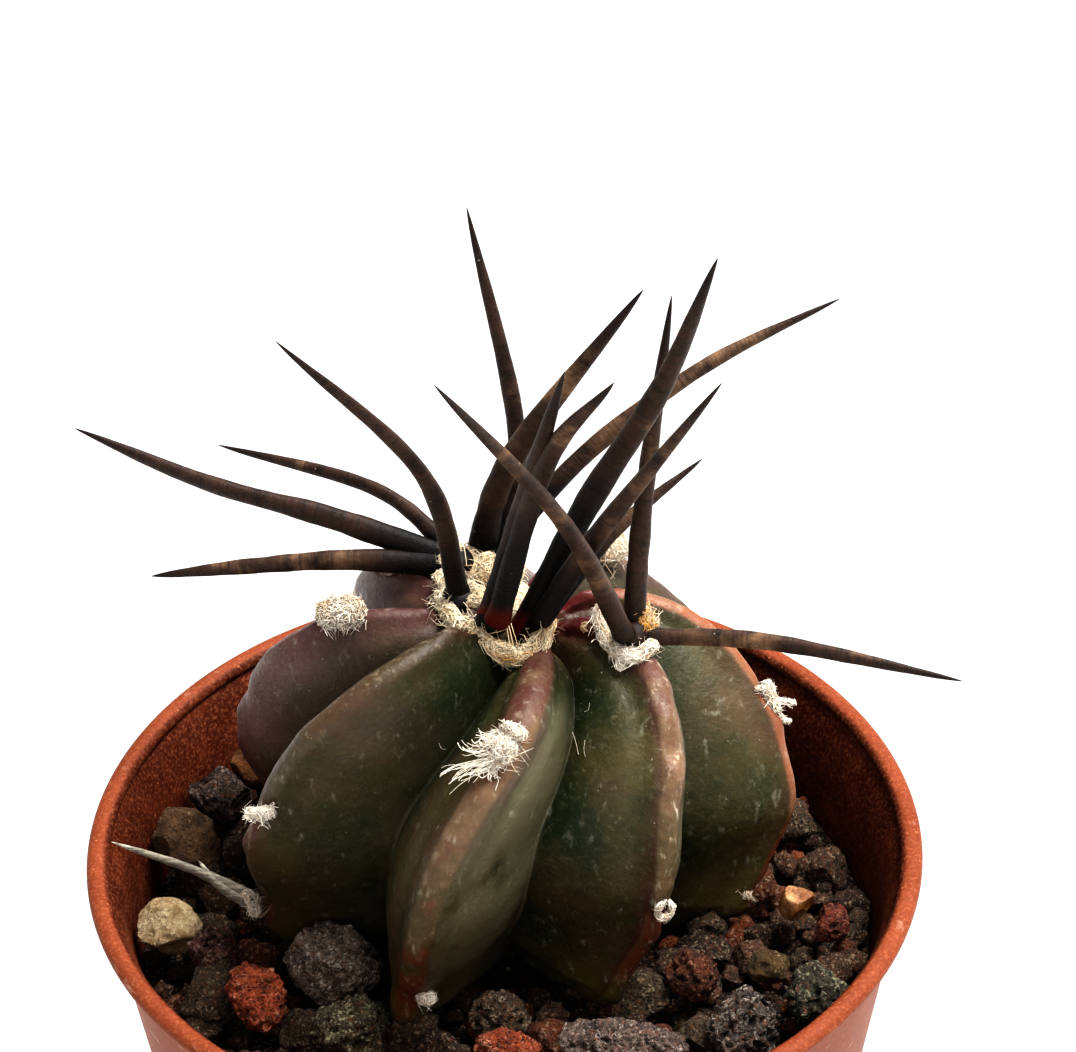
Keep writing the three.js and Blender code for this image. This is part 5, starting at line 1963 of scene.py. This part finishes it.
TUFTS: tuple[Tuft, ...] = (
    Tuft("wool_rib_1_side", (
        Lock(((-13.7, 1.9, 21.1), (-12.4, 1.9, 21.7), (-11, 2, 21.8), (-10, 2.2, 21.8)), 1.15, 1050, 1.1, 0.2,
             0.6, 0.1, 0.3, 0.036, 2.4, 0.05),
    )),
    Tuft("wool_rib_2_side", (
        Lock(((-19.2, -8.2, 10.9), (-18.2, -8.8, 11.2), (-17, -9, 11.5)), 0.52, 240, 1.8, 0.02, 0.3, 0.3, 0.3,
             blunt=3.0),
    ), (
        *wisp(((-17.8, -9, 11.3), (-17.2, -9.1, 11.7), (-16.8, -9.2, 12)), 10, 0.2, 41),
        *wisp(((-18.4, -8.8, 11), (-18.9, -8.8, 10.9), (-19.3, -8.8, 10.9)), 10, 0.2, 42),
        *wisp(((-18, -9, 11), (-18, -9.2, 10.6), (-17.9, -9.3, 10.3)), 8, 0.2, 43),
    )),
    Tuft("wool_rib_2_foot", (
        Lock(((-20, -4.9, 0.2), (-19.5, -5.4, -0.7), (-19.3, -5.6, -1.9)), 0.5, 150, 2.0, 0.15),
    )),
    Tuft("wool_rib_3_side", (
        Lock(((0.5, -12.6, 21.7), (0, -13.4, 20.9), (-0.7, -14.2, 20)), 1.1, 560, 2.6, 0.03, 0.35, 0.3, 0.4,
             blunt=3.0),
        Lock(((1.3, -12.3, 22.2), (0.9, -12.9, 21.4)), 0.95, 260, 2.4, 0.14, 0.35, 0.3, 0.35, blunt=3.0),
    ), (
        *wisp(((0, -13.8, 20.8), (-1.4, -14.5, 20.5), (-2.8, -15, 20.3), (-4.2, -15.3, 19.5)), 26, 0.45, 31),
        *wisp(((-0.2, -13.9, 20.4), (-1.2, -14.6, 20), (-2.3, -15.1, 19.8), (-3.4, -15.4, 19.2)), 22, 0.4,
             32),
        *wisp(((0, -13.6, 21.2), (-1.2, -14, 21.2), (-2.3, -14.2, 21.6), (-2.8, -14.1, 22.3)), 24, 0.35, 33),
        *wisp(((0.4, -13.4, 21.8), (-0.6, -13.8, 22), (-1.4, -13.9, 22.4), (-1.6, -13.9, 23)), 18, 0.35, 34),
        *wisp(((0.8, -12.8, 22.4), (0.5, -13, 22.9), (0.6, -12.9, 23.5)), 14, 0.4, 35),
        *wisp(((-0.4, -14.2, 20.2), (-0.7, -14.7, 19.6), (-0.8, -15, 19)), 16, 0.4, 36),
    )),
    Tuft("wool_rib_3_foot", (
        Lock(((-6.7, -15.4, -1.5), (-6, -15.3, -1.8), (-5.5, -15.1, -2.2)), 0.55, 170, 1.6, 0.0, 0.3, 0.3,
             0.2, blunt=3.0),
    )),
    Tuft("wool_rib_4_upper", (
        Lock(((7.5, 2.4, 21.6), (7.7, 1.2, 21.2), (8.1, -0.2, 20.6), (8.9, -1.5, 20.2), (10, -2, 20.2),
             (11, -1.8, 20.5), (11.8, -1.2, 21)), 0.6, 450, 2.8, 0.15, 0.4, 0.7, 0.3, 0.042, 7.0, 0.05),
        Lock(((9.4, -1.6, 20.2), (9.1, -2.2, 19.8), (9, -2.6, 19.3)), 0.36, 90, 2.0, 0.0, 0.3, 0.8, 0.15,
             0.04),
        Lock(((10.3, 1.4, 22.4), (10.8, 0.4, 21.9), (11.6, -0.6, 21.3)), 0.74, 420, 2.4, 0.75, 0.4, 0.5, 0.35,
             0.04),
        Lock(((6.6, 1.9, 19.9),), 0.45, 60, 0.8, 0.7, 0.3, 0.3, 0.03),
    ), (
        Hair(((5.1, -5.7, 17.5), (5.2, -4.8, 15.8), (5.5, -5, 14.9), (5.8, -6.2, 14.2)), 0.016, 0.2),
        Hair(((6.3, -5.6, 15.1), (6.2, -6.2, 14.7), (6.3, -6.6, 14.3)), 0.018, 0.1),
        Hair(((6, -7, 13.5), (6.1, -7.3, 13.2), (6.1, -7.7, 12.9)), 0.016, 0.1),
        Hair(((6.3, -4, 16.5), (6.6, -4.1, 16.8), (6.7, -3.8, 17.2)), 0.016, 0.0),
        Hair(((-4.6, -7.2, 16.4), (-4.4, -7.4, 16), (-4.1, -6.9, 15.5)), 0.016, 0.1),
    )),
    Tuft("wool_rib_4_foot", (
        Lock(((12.2, -12.2, 4.8), (11.6, -12.5, 4.4), (11.6, -12.6, 3.6), (12.2, -12.4, 3.3),
             (12.6, -12.1, 3.9), (12.4, -12.1, 4.7)), 0.26, 220, 1.3, 0.06, 0.3, 0.7, 0.1),
    )),
    Tuft("wool_rib_5_side", (
        Lock(((20.5, 5.4, 11.6), (20.8, 4.9, 10.4), (21.3, 4.3, 9.2)), 0.44, 230, 2.0, 0.03, 0.35, 0.7, 0.3),
        Lock(((20.7, 5, 11), (20, 4.8, 11.4), (19.6, 4.7, 11.2)), 0.2, 70, 1.6, 0.0, 0.3, 0.8, 0.2),
        Lock(((21, 4.7, 10), (22, 4.8, 10), (22.8, 5, 9.6)), 0.2, 80, 1.6, 0.0, 0.3, 0.8, 0.2),
        Lock(((21.3, 4.3, 9.4), (21.9, 4, 8.7), (22.4, 3.9, 8.8)), 0.2, 70, 1.6, 0.0, 0.3, 0.8, 0.2),
    )),
    Tuft("wool_rib_5_foot", (
        Lock(((18.9, -0.4, -4.4), (18.6, -0.7, -5.4)), 0.55, 130, 1.6, 0.25),
    )),
    Tuft("wool_rib_6_upper", (
        Lock(((8.6, 15.2, 17.8), (8.9, 16, 16.4)), 1.25, 380, 2.2, 0.2, 0.4, 0.3, 0.4),
    )),
    Tuft("wool_rib_7_side", (
        Lock(((0.2, 22.6, 11.6),), 1.25, 300, 2.0, 0.1, 0.4, 0.3, 0.4),
    )),
    Tuft("wool_rib_8_side", (
        Lock(((-8.4, 11, 19.5),), 1.1, 300, 2.0, 0.15, 0.4, 0.3, 0.4),
    )),
)


def draws(seed: int) -> Callable[[], float]:
    """Returns a source of seeded draws between 0 and 1, the same that the gravel's solids use.

    Args:
        seed: The first state.

    Returns:
        A function that returns the next draw.
    """
    state = seed
    mask = 0xFFFFFFFF

    def draw() -> float:
        """Returns the next draw.

        Returns:
            A number between 0 and 1.
        """
        nonlocal state
        state = (state + 0x6D2B79F5) & mask
        t = ((state ^ (state >> 15)) * (1 | state)) & mask
        t = ((t + (((t ^ (t >> 7)) * (61 | t)) & mask)) & mask) ^ t
        return (t ^ (t >> 14)) / (mask + 1)

    return draw


def chipped(points: Array, draw: np.random.Generator, planes: int, depth: float) -> Array:
    """Flattens a rounded stone's surface on planes, like broken faces.

    Args:
        points: The stone's points.
        draw: Where the draws come from.
        planes: How many faces are broken.
        depth: How deep a face can cut, as a share of the stone's reach on that side.

    Returns:
        The moved points.
    """
    middle = (points.min(axis=0) + points.max(axis=0)) / 2
    moved = points - middle
    for heading in unit(draw.normal(size=(planes, 3))):
        reach = moved @ heading
        limit = reach.max() * (1 - depth * draw.random())
        moved = moved - np.maximum(reach - limit, 0)[:, None] * heading
    return middle + moved


@dataclass
class Stones:
    """The stones that stand out, each from its own solid."""

    effects: Effects
    voxel: float = 0.16
    planes: int = 13
    depth: float = 0.36
    first_seed: int = 700
    shift: float = 13.7

    @staticmethod
    def tree() -> Tree:
        """Builds the nodes that weather a stone: slow lumps, grains, pits and a fine tooth.

        Returns:
            The tree.
        """
        tree = Tree("weathered", {
            "Lump": 0.5, "Clod": 0.25, "Pit": 0.4, "Pit Spacing": 1.1, "Grain": 0.15, "Shift": 0.0})
        graph, given = tree.graph, tree.inputs
        place = graph.vector("SCALE", tree.place(), scale=1 / MM)
        place = graph.vector("ADD", place, graph.combined(given["Shift"], given["Shift"]))
        warped = graph.swirled(place, 1.4, 2.0, 0.9)
        lump = graph.minus(graph.cloud(place, 0.55, 3.0, 0.6), 0.5)
        grain = graph.minus(graph.cloud(place, 2.4, 5.0, 0.75), 0.5)
        clods = graph.node("ShaderNodeTexVoronoi", {"Vector": warped, "Scale": 1.25}).outputs["Distance"]
        distance, draw = graph.cells(warped, given["Pit Spacing"])
        pit = graph.bowl(distance, graph.lifted(draw[0], 0.5, 0.05))
        total = graph.times(lump, graph.times(given["Lump"], 2.0))
        total = graph.lifted(graph.minus(0.4, clods), given["Clod"], total)
        total = graph.lifted(grain, graph.times(given["Grain"], 2.0), total)
        total = graph.minus(total, graph.times(pit, given["Pit"]))
        normal = tree.step("InputNormal", {})
        offset = graph.vector("SCALE", normal, scale=graph.times(total, MM))
        marked = tree.stored(given["Geometry"], "relief", total)
        tree.close(tree.step("SetPosition", {"Geometry": marked, "Offset": offset}))
        return tree

    def _solid(self, node: str) -> Solid:
        """Copies a node's solid as an even, rounded mesh.

        Args:
            node: The node.

        Returns:
            The copy.
        """
        copy = linked(f"{node} copy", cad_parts[node].data.copy())
        outward(copy, 1e-3)
        remesh = copy.modifiers.new("even", "REMESH")
        remesh.mode = "VOXEL"
        remesh.voxel_size = self.voxel * MM
        add_rounding(copy, 0.6, 3)
        return baked(copy, f"{node} even")

    def build(self, faces: dict[str, StoneFace]) -> Tree:
        """Makes every stone that stands out.

        Args:
            faces: Each stone's surface, by its node's name without the first word.

        Returns:
            The nodes that weather a stone.
        """
        tree = self.tree()
        for index, (name, face) in enumerate(faces.items()):
            solid = self._solid(f"stone_{name}")
            draw = np.random.default_rng(self.first_seed + index)
            move_points(solid, chipped(coordinates(solid), draw, self.planes, self.depth))
            add_rounding(solid, 0.4, 1)
            wear = face.kind.value
            piece = tree.run(baked(solid, "rounded stone"), f"rock_{name}", {
                "Lump": wear.lump, "Clod": wear.clod, "Pit": wear.pit, "Pit Spacing": wear.spacing,
                "Grain": wear.grain, "Shift": index * self.shift})
            material = face.material(self.effects, name.replace("_", " "))
            finished(piece, material, f"stone_{name}", f"stone_{name}")
        return tree


STONES: dict[str, StoneFace] = {
    "slate_large": StoneFace(StoneKind.SLATE, "8a7a6c", "685a50", "dcd0c4"),
    "lava_red_left": StoneFace(StoneKind.LAVA, "b45a38", "8a4228", "dca888"),
    "pumice_cream": StoneFace(StoneKind.PUMICE, "d4c09c", "987a50", "f0e8d4", "6a4a28"),
    "olive_left": StoneFace(StoneKind.COARSE, "6a624c", "463c2a", "c8c0a0"),
    "plum_left": StoneFace(StoneKind.COARSE, "704a42", "4c302a", "b8a094"),
    "brown_left": StoneFace(StoneKind.PUMICE, "74593f", "4c3827", "ccb08a"),
    "purple_back": StoneFace(StoneKind.SLATE, "5c4a40", "3e302a", "a8948c"),
    "ochre": StoneFace(StoneKind.PUMICE, "7a4f2a", "5c3a20", "b89464", "2a1a10"),
    "lava_red_front": StoneFace(StoneKind.LAVA, "9c4c2c", "743620", "cc967a"),
    "grey_front": StoneFace(StoneKind.COARSE, "665644", "443426", "c4b094"),
    "pink_slab": StoneFace(StoneKind.SLATE, "76645a", "544640", "d0bfb2"),
    "violet_large": StoneFace(StoneKind.COARSE, "645850", "403631", "c4b6a8"),
    "lava_brown_right": StoneFace(StoneKind.LAVA, "70402c", "482a1c", "b88868"),
    "olive_right": StoneFace(StoneKind.COARSE, "4c483a", "302c20", "b0aa8c"),
    "shell_cream": StoneFace(StoneKind.PUMICE, "665034", "40301c", "c8b48c", "201610"),
    "amber": StoneFace(StoneKind.SMOOTH, "6a3c16", "a88258", "e3c795"),
    "lava_red_right": StoneFace(StoneKind.LAVA, "743826", "522418", "b08068"),
}


@dataclass(frozen=True)
class Pebble:
    """One stone of the bed: its middle, half sizes, turn and draw."""

    centre: Place
    size: Place
    turn: float
    draw: float


@dataclass
class GravelBed:
    """The bed of small stones on its crumbly base."""

    effects: Effects
    flat: float = 45.5
    low: float = 43.85
    wall_inner: float = 29.26
    taper: float = 0.16
    slack: float = 0.05
    seed: int = 25
    crumb_seed: int = 925
    rock_seed: int = 40
    stones: int = 44
    candidates: int = 14
    smallest: float = 2.1
    spread: float = 1.2
    rise: float = 0.7
    reach: float = 0.8
    margin: float = 1.6
    clear: float = 15.5
    hole: float = 10.8
    filler_step: float = 2.35
    row_step: float = 0.866
    shake: float = 0.6
    crumb_half: tuple[float, float] = (0.85, 0.75)
    crumb_lift: tuple[float, float] = (0.25, 1.1)
    beside_hole: float = 1.2
    beside_wall: float = 0.9
    disc_inset: float = 0.6
    disc_drop: float = 0.15
    disc_relief: float = 0.35
    variants: int = 8
    columns: int = 96
    base_rings: int = 24
    placed: Path = (
        (-23.8, -12.4, 2.2), (-15.6, -11.8, 2.2), (-20.2, -16.6, 2.3), (-16.2, -18, 2.2), (-4.8, -15.4, 2.6),
        (3.4, -11.2, 2.1), (18.2, -10.2, 1.9), (25.2, -7.4, 2.2), (27, 0.8, 2.1), (25.4, 4.8, 2.5),
        (23.2, 10.8, 2.5), (15.4, -4, 2.2), (19.4, -5, 2.1), (-22.4, 3.4, 2.3), (-21, 8.6, 2.4),
    )
    standing: Path = (
        (-13.2, -7.8, 3.7), (-19.2, -11.2, 2.6), (-26.4, -2.8, 2.8), (-11.6, -14.8, 3.2), (-22.6, -5.4, 2.1),
        (-25.8, 6.8, 2.9), (-23.2, 12.8, 2.7), (-20.6, 16.6, 1.9), (0, -17.8, 2.8), (-0.7, -12.6, 2.8),
        (8.2, -17.2, 5.4), (18.2, -15.2, 3), (14.2, -9, 2.4), (23.6, -11.8, 2.6), (20.3, -8.8, 1.8),
        (22.8, -2, 1.5), (25.4, -3.6, 1.6),
    )
    # The first two colours, near-black browns, are the crumbly base's: its own dark crumbs, made darker as
    # painted shade for the gaps between the stones.
    face: StoneFace = StoneFace(
        StoneKind.COARSE, "1c130f", "3d281c", "a8947a", "0c0806", "6a3a1e",
        ("6c3c26", "50392a", "42301f", "7c4224", "504232", "36271e", "5c3f2e"))

    def _sized(self, x: float, y: float, half: float, draw: Callable[[], float]) -> Pebble:
        """Makes one stone at a place on plan, sunk by a share of its height.

        Args:
            x: Its place across.
            y: Its place in depth.
            half: Half its length.
            draw: Where the draws come from.

        Returns:
            The stone.
        """
        high = half * (0.8 + 0.2 * draw())
        wide = half * (0.8 + 0.3 * draw())
        turn, level = math.pi * draw(), self.flat + self.rise * high
        return Pebble((x, y, level), (half, wide, high), turn, (7.31 * turn + half) % 1)

    def pebbles(self) -> list[Pebble]:
        """Lays the stones: those whose places show, then the rest spread evenly by a seeded rule.

        Returns:
            The stones.
        """
        draw = draws(self.seed)
        laid = [(x, y, half * self.reach) for x, y, half in self.standing + self.placed]
        stones = [self._sized(x, y, half, draw) for x, y, half in self.placed]
        for _ in range(self.stones):
            half = self.smallest + self.spread * draw()
            best, room = (0.0, 0.0), -math.inf
            for _ in range(self.candidates):
                radius = (self.wall_inner - self.margin) * math.sqrt(draw())
                angle = 2 * math.pi * draw()
                spot = (radius * math.cos(angle), radius * math.sin(angle))
                if math.dist(spot, PLANT) <= self.clear:
                    continue
                free = min(math.dist(spot, (x, y)) - r for x, y, r in laid)
                if free > room:
                    best, room = spot, free
            laid.append((*best, half * self.reach))
            stones.append(self._sized(*best, half, draw))
        return stones

    def crumbs(self) -> list[Pebble]:
        """Lays the small stones that fill the gaps between the others, on a shaken triangular grid.

        Returns:
            The small stones.
        """
        draw = draws(self.crumb_seed)
        small, step = [], self.filler_step
        rows = int(self.wall_inner / (step * self.row_step)) + 1
        for row in range(-rows, rows + 1):
            for column in range(-rows, rows + 1):
                x = (column + 0.5 * (row % 2) + self.shake * (draw() - 0.5)) * step
                y = (row * self.row_step + self.shake * (draw() - 0.5)) * step
                half = self.crumb_half[0] + self.crumb_half[1] * draw()
                lift = self.flat + self.crumb_lift[0] + self.crumb_lift[1] * draw()
                turn, tone = math.pi * draw(), draw()
                beside = math.dist((x, y), PLANT) > self.hole + self.beside_hole
                if beside and math.hypot(x, y) < self.wall_inner - self.beside_wall - half * 0.4:
                    small.append(Pebble((x, y, lift), (half, half * 0.85, half * 0.8), turn, tone))
        return small

    def rocks(self, fineness: int) -> list[Solid]:
        """Makes the shapes that the stones are picked from: balls with broken faces.

        Args:
            fineness: How often a ball's faces are divided.

        Returns:
            The shapes.
        """
        made = []
        for index in range(self.variants):
            points, faces = ball(fineness, 1.0)
            points = chipped(points, np.random.default_rng(self.rock_seed + index), 16, 0.42)
            points = points * (1 + 0.07 * drift(points, 0.5, index * 3.1))[:, None]
            made.append(mesh_object(f"rock {index}", points / np.abs(points).max() / MM, faces))
        return made

    def scattered(self, laid: Sequence[Pebble], fineness: int, material: Material) -> Solid:
        """Puts a rock of the given fineness at every place.

        Args:
            laid: The stones.
            fineness: How often a ball's faces are divided.
            material: Their material.

        Returns:
            The stones as one mesh.
        """
        guide = mesh_object("stone places", [p.centre for p in laid], [])
        store(guide, "size", np.array([p.size for p in laid]) * MM)
        store(guide, "turn", [p.turn for p in laid])
        store(guide, "stone", [(0.13 + 0.87 * p.draw, 0, 0, 1) for p in laid])
        rocks = self.rocks(fineness)
        stones = self.tree(rocks).run(guide, "loose stones", {"Material": material})
        for rock in rocks:
            bpy.data.objects.remove(rock)
        return stones

    @staticmethod
    def tree(rocks: Sequence[Solid]) -> Tree:
        """Builds the nodes that put a rock on every point, with its size, turn and draw.

        Args:
            rocks: The shapes.

        Returns:
            The tree.
        """
        tree = Tree("scattered", {"Seed": 3})
        graph, seed = tree.graph, tree.inputs["Seed"]
        join = graph.node("GeometryNodeGeometryToInstance")
        for rock in reversed(rocks):
            info = graph.node("GeometryNodeObjectInfo", {"Object": rock, "As Instance": True})
            graph.tree.links.new(info.outputs["Geometry"], join.inputs[0])
        tumble = graph.node("FunctionNodeRandomValue", {
            "Min": (-3.1, -3.1, 0.0), "Max": (3.1, 3.1, 0.0), "Seed": seed,
        }, data_type="FLOAT_VECTOR").outputs[0]
        pick = graph.node("FunctionNodeRandomValue", {
            "Min": 0, "Max": len(rocks) - 1, "Seed": seed}, data_type="INT").outputs[2]
        laid = tree.step("InstanceOnPoints", {
            "Points": tree.inputs["Geometry"], "Instance": join.outputs[0], "Pick Instance": True,
            "Instance Index": pick, "Rotation": graph.vector("MULTIPLY", tumble, (0.06, 0.06, 1.0)),
            "Scale": tree.named("size", "FLOAT_VECTOR")})
        tree.close(tree.step("RotateInstances", {
            "Instances": laid, "Rotation": graph.combined(z=tree.named("turn"))}))
        return tree

    def base(self) -> Solid:
        """Makes the crumbly base: a thin disc with a hole for the plant.

        Returns:
            The base.
        """
        count, total = self.columns, self.base_rings + 2
        angles = np.linspace(0, 2 * math.pi, count + 1)[:-1]
        turns = np.column_stack([np.cos(angles), np.sin(angles)])
        inner, outer = np.array(PLANT) + self.hole * turns, (self.wall_inner - self.disc_inset) * turns
        rings = [inner + (outer - inner) * u for u in np.linspace(0, 1, self.base_rings)]
        levels = [self.flat - self.disc_drop] * self.base_rings + [self.low] * 2
        points = np.concatenate([np.insert(ring, 2, level, axis=1)
                                 for ring, level in zip([*rings, rings[-1], rings[0]], levels)])
        top = points[:self.base_rings * count]
        rough = [0.3] + [1.0] * (self.base_rings - 2) + [0.3]
        top[:, 2] += self.disc_relief * drift(top, 0.9) * np.repeat(rough, count)
        faces = []
        for j in range(total):
            n = (j + 1) % total
            for k in range(count):
                m = (k + 1) % count
                faces.append((j * count + k, n * count + k, n * count + m, j * count + m))
        made = mesh_object("crumbly base", points, faces)
        # A draw of 0 gives the base the near-black colour, partly painted shade for the gaps between the
        # stones.
        store(made, "stone", np.zeros((len(points), 4)))
        return outward(made)

    def contain(self, bed: Solid) -> None:
        """Holds the bed's points inside the pot's wall, which widens upward.

        Args:
            bed: The bed.
        """
        points = coordinates(bed)
        limit = self.wall_inner - self.slack + self.taper * (points[:, 2] - SOIL_LEVEL)
        share = np.minimum(1, limit / np.maximum(np.hypot(points[:, 0], points[:, 1]), self.slack))
        points[:, :2] *= share[:, None]
        move_points(bed, points)

    def build(self, weathered: Tree) -> None:
        """Makes the bed: its stones on their base, and the fines between them.

        Args:
            weathered: The nodes that weather a stone.
        """
        material = self.face.material(self.effects, "gravel")
        stones = joined("stones", [self.scattered(self.pebbles(), 4, material), self.base()])
        crumbs = self.scattered(self.crumbs(), 3, material)
        for name, source in (("gravel", stones), ("gravel_fines", crumbs)):
            bed = weathered.run(source, name, {
                "Lump": 0.3, "Clod": 0.25, "Pit": 0.25, "Pit Spacing": 0.9, "Grain": 0.2, "Shift": 3.3,
                "Material": material})
            self.contain(bed)
            finished(bed, material, "gravel", "gravel_bed")


@dataclass
class Studio:
    """The set: a pale floor, a pale surround, soft lamps and the camera. Lengths are in millimetres."""

    effects: Effects
    place: Place = (3.08, -265.54, 285.31)
    pitch: float = 36.89
    roll: float = -1.08
    lens: float = 4500 / 1076 * 36
    sensor: float = 36.0
    floor_half: float = 3000.0
    aim: Place = (0.0, 0.0, 60.0)
    surround_strength: float = 0.42
    lamps: tuple[tuple[str, Place, float, float], ...] = (
        ("overhead", (210, 60, 610), 300, 9.0), ("front", (-60, -460, 400), 400, 0.9))

    def floor(self) -> None:
        """Lays the floor."""
        half = self.floor_half
        floor = mesh_object(
            "floor", [(-half, -half, 0), (half, -half, 0), (half, half, 0), (-half, half, 0)], [(0, 1, 2, 3)])
        floor.data.materials.append(FloorFinish().material(self.effects))

    def camera(self) -> None:
        """Sets up the camera."""
        camera = bpy.data.cameras.new("camera")
        camera.lens = self.lens
        camera.sensor_width = self.sensor
        camera.sensor_fit = "HORIZONTAL"
        camera.clip_start, camera.clip_end = 0.01, 20.0
        holder = linked("camera", camera)
        tilt, roll = math.radians(90 - self.pitch), math.radians(self.roll)
        turned = Matrix.Rotation(tilt, 4, "X") @ Matrix.Rotation(roll, 4, "Z")
        holder.matrix_world = Matrix.Translation(Vector(self.place) * MM) @ turned
        bpy.context.scene.camera = holder

    def lamp(self, name: str, place: Place, width: float, power: float) -> None:
        """Adds a soft lamp that faces the plant.

        Args:
            name: Its name.
            place: Its place.
            width: Its width.
            power: Its power in watts.
        """
        light = bpy.data.lights.new(name, "AREA")
        light.size, light.energy = width * MM, power
        holder = linked(name, light)
        spot = Vector(place) * MM
        turned = (Vector(self.aim) * MM - spot).to_track_quat("-Z", "Y").to_matrix().to_4x4()
        holder.matrix_world = Matrix.Translation(spot) @ turned

    def surround(self) -> None:
        """Makes the pale light from all round."""
        scene = bpy.context.scene
        scene.world = bpy.data.worlds.new("pale surround")
        scene.world.use_nodes = True
        back = scene.world.node_tree.nodes["Background"]
        back.inputs["Color"].default_value = (1.0, 1.0, 1.0, 1.0)
        back.inputs["Strength"].default_value = self.surround_strength
        scene.view_settings.view_transform = "Standard"
        scene.view_settings.look = "High Contrast"

    def build(self) -> None:
        """Makes the whole set."""
        self.floor()
        self.camera()
        self.surround()
        for lamp in self.lamps:
            self.lamp(*lamp)


def build_spines(effects: Effects) -> None:
    """Makes every bunch of spines, the living ones and the two old ones.

    Args:
        effects: The shared effects.
    """
    sweep = SpineBunch.tree()
    for node, spines in SPINES.items():
        weathering, root = HORNS[node]
        horn = SpineHorn(f"horn {node[7:]}", weathering=weathering, root=root)
        SpineBunch(node, spines, horn.material(effects), "spine").build(sweep)
    horn = SpineHorn("old horn", "57524a", "8e8676", "cfc8ba", "c4bdac",
                     weathering=1.0, root=0.0, striped=0.8)
    SpineBunch("old_spines", OLD_SPINES, horn.material(effects), "old_spine", 0.8).build(sweep)


def build_wool(effects: Effects) -> None:
    """Makes the crown's wool and the tufts.

    Args:
        effects: The shared effects.
    """
    wool = Wool(Wool.fibre_tree())
    white = WoolFibre("tuft wool").material(effects)
    golden = WoolFibre("crown wool", "e3d7bc").material(effects)
    wool.build(CROWN, CROWN_SEED, golden, "crown_wool")
    for index, tuft in enumerate(TUFTS):
        wool.build(tuft, TUFT_SEED + index, white, "wool")


def main() -> None:
    """Builds the whole object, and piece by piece."""
    logging.basicConfig(level=logging.INFO, format="%(message)s")
    effects = Effects()
    Studio(effects).build()
    Pot(effects).build()
    CactusBody(effects, Globe()).build()
    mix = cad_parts["potting_mix"]
    mix.data.materials.clear()
    mix.data.materials.append(PottingMix().material(effects))
    build_spines(effects)
    build_wool(effects)
    GravelBed(effects).build(Stones(effects).build(STONES))


if __name__ == "__main__":
    main()
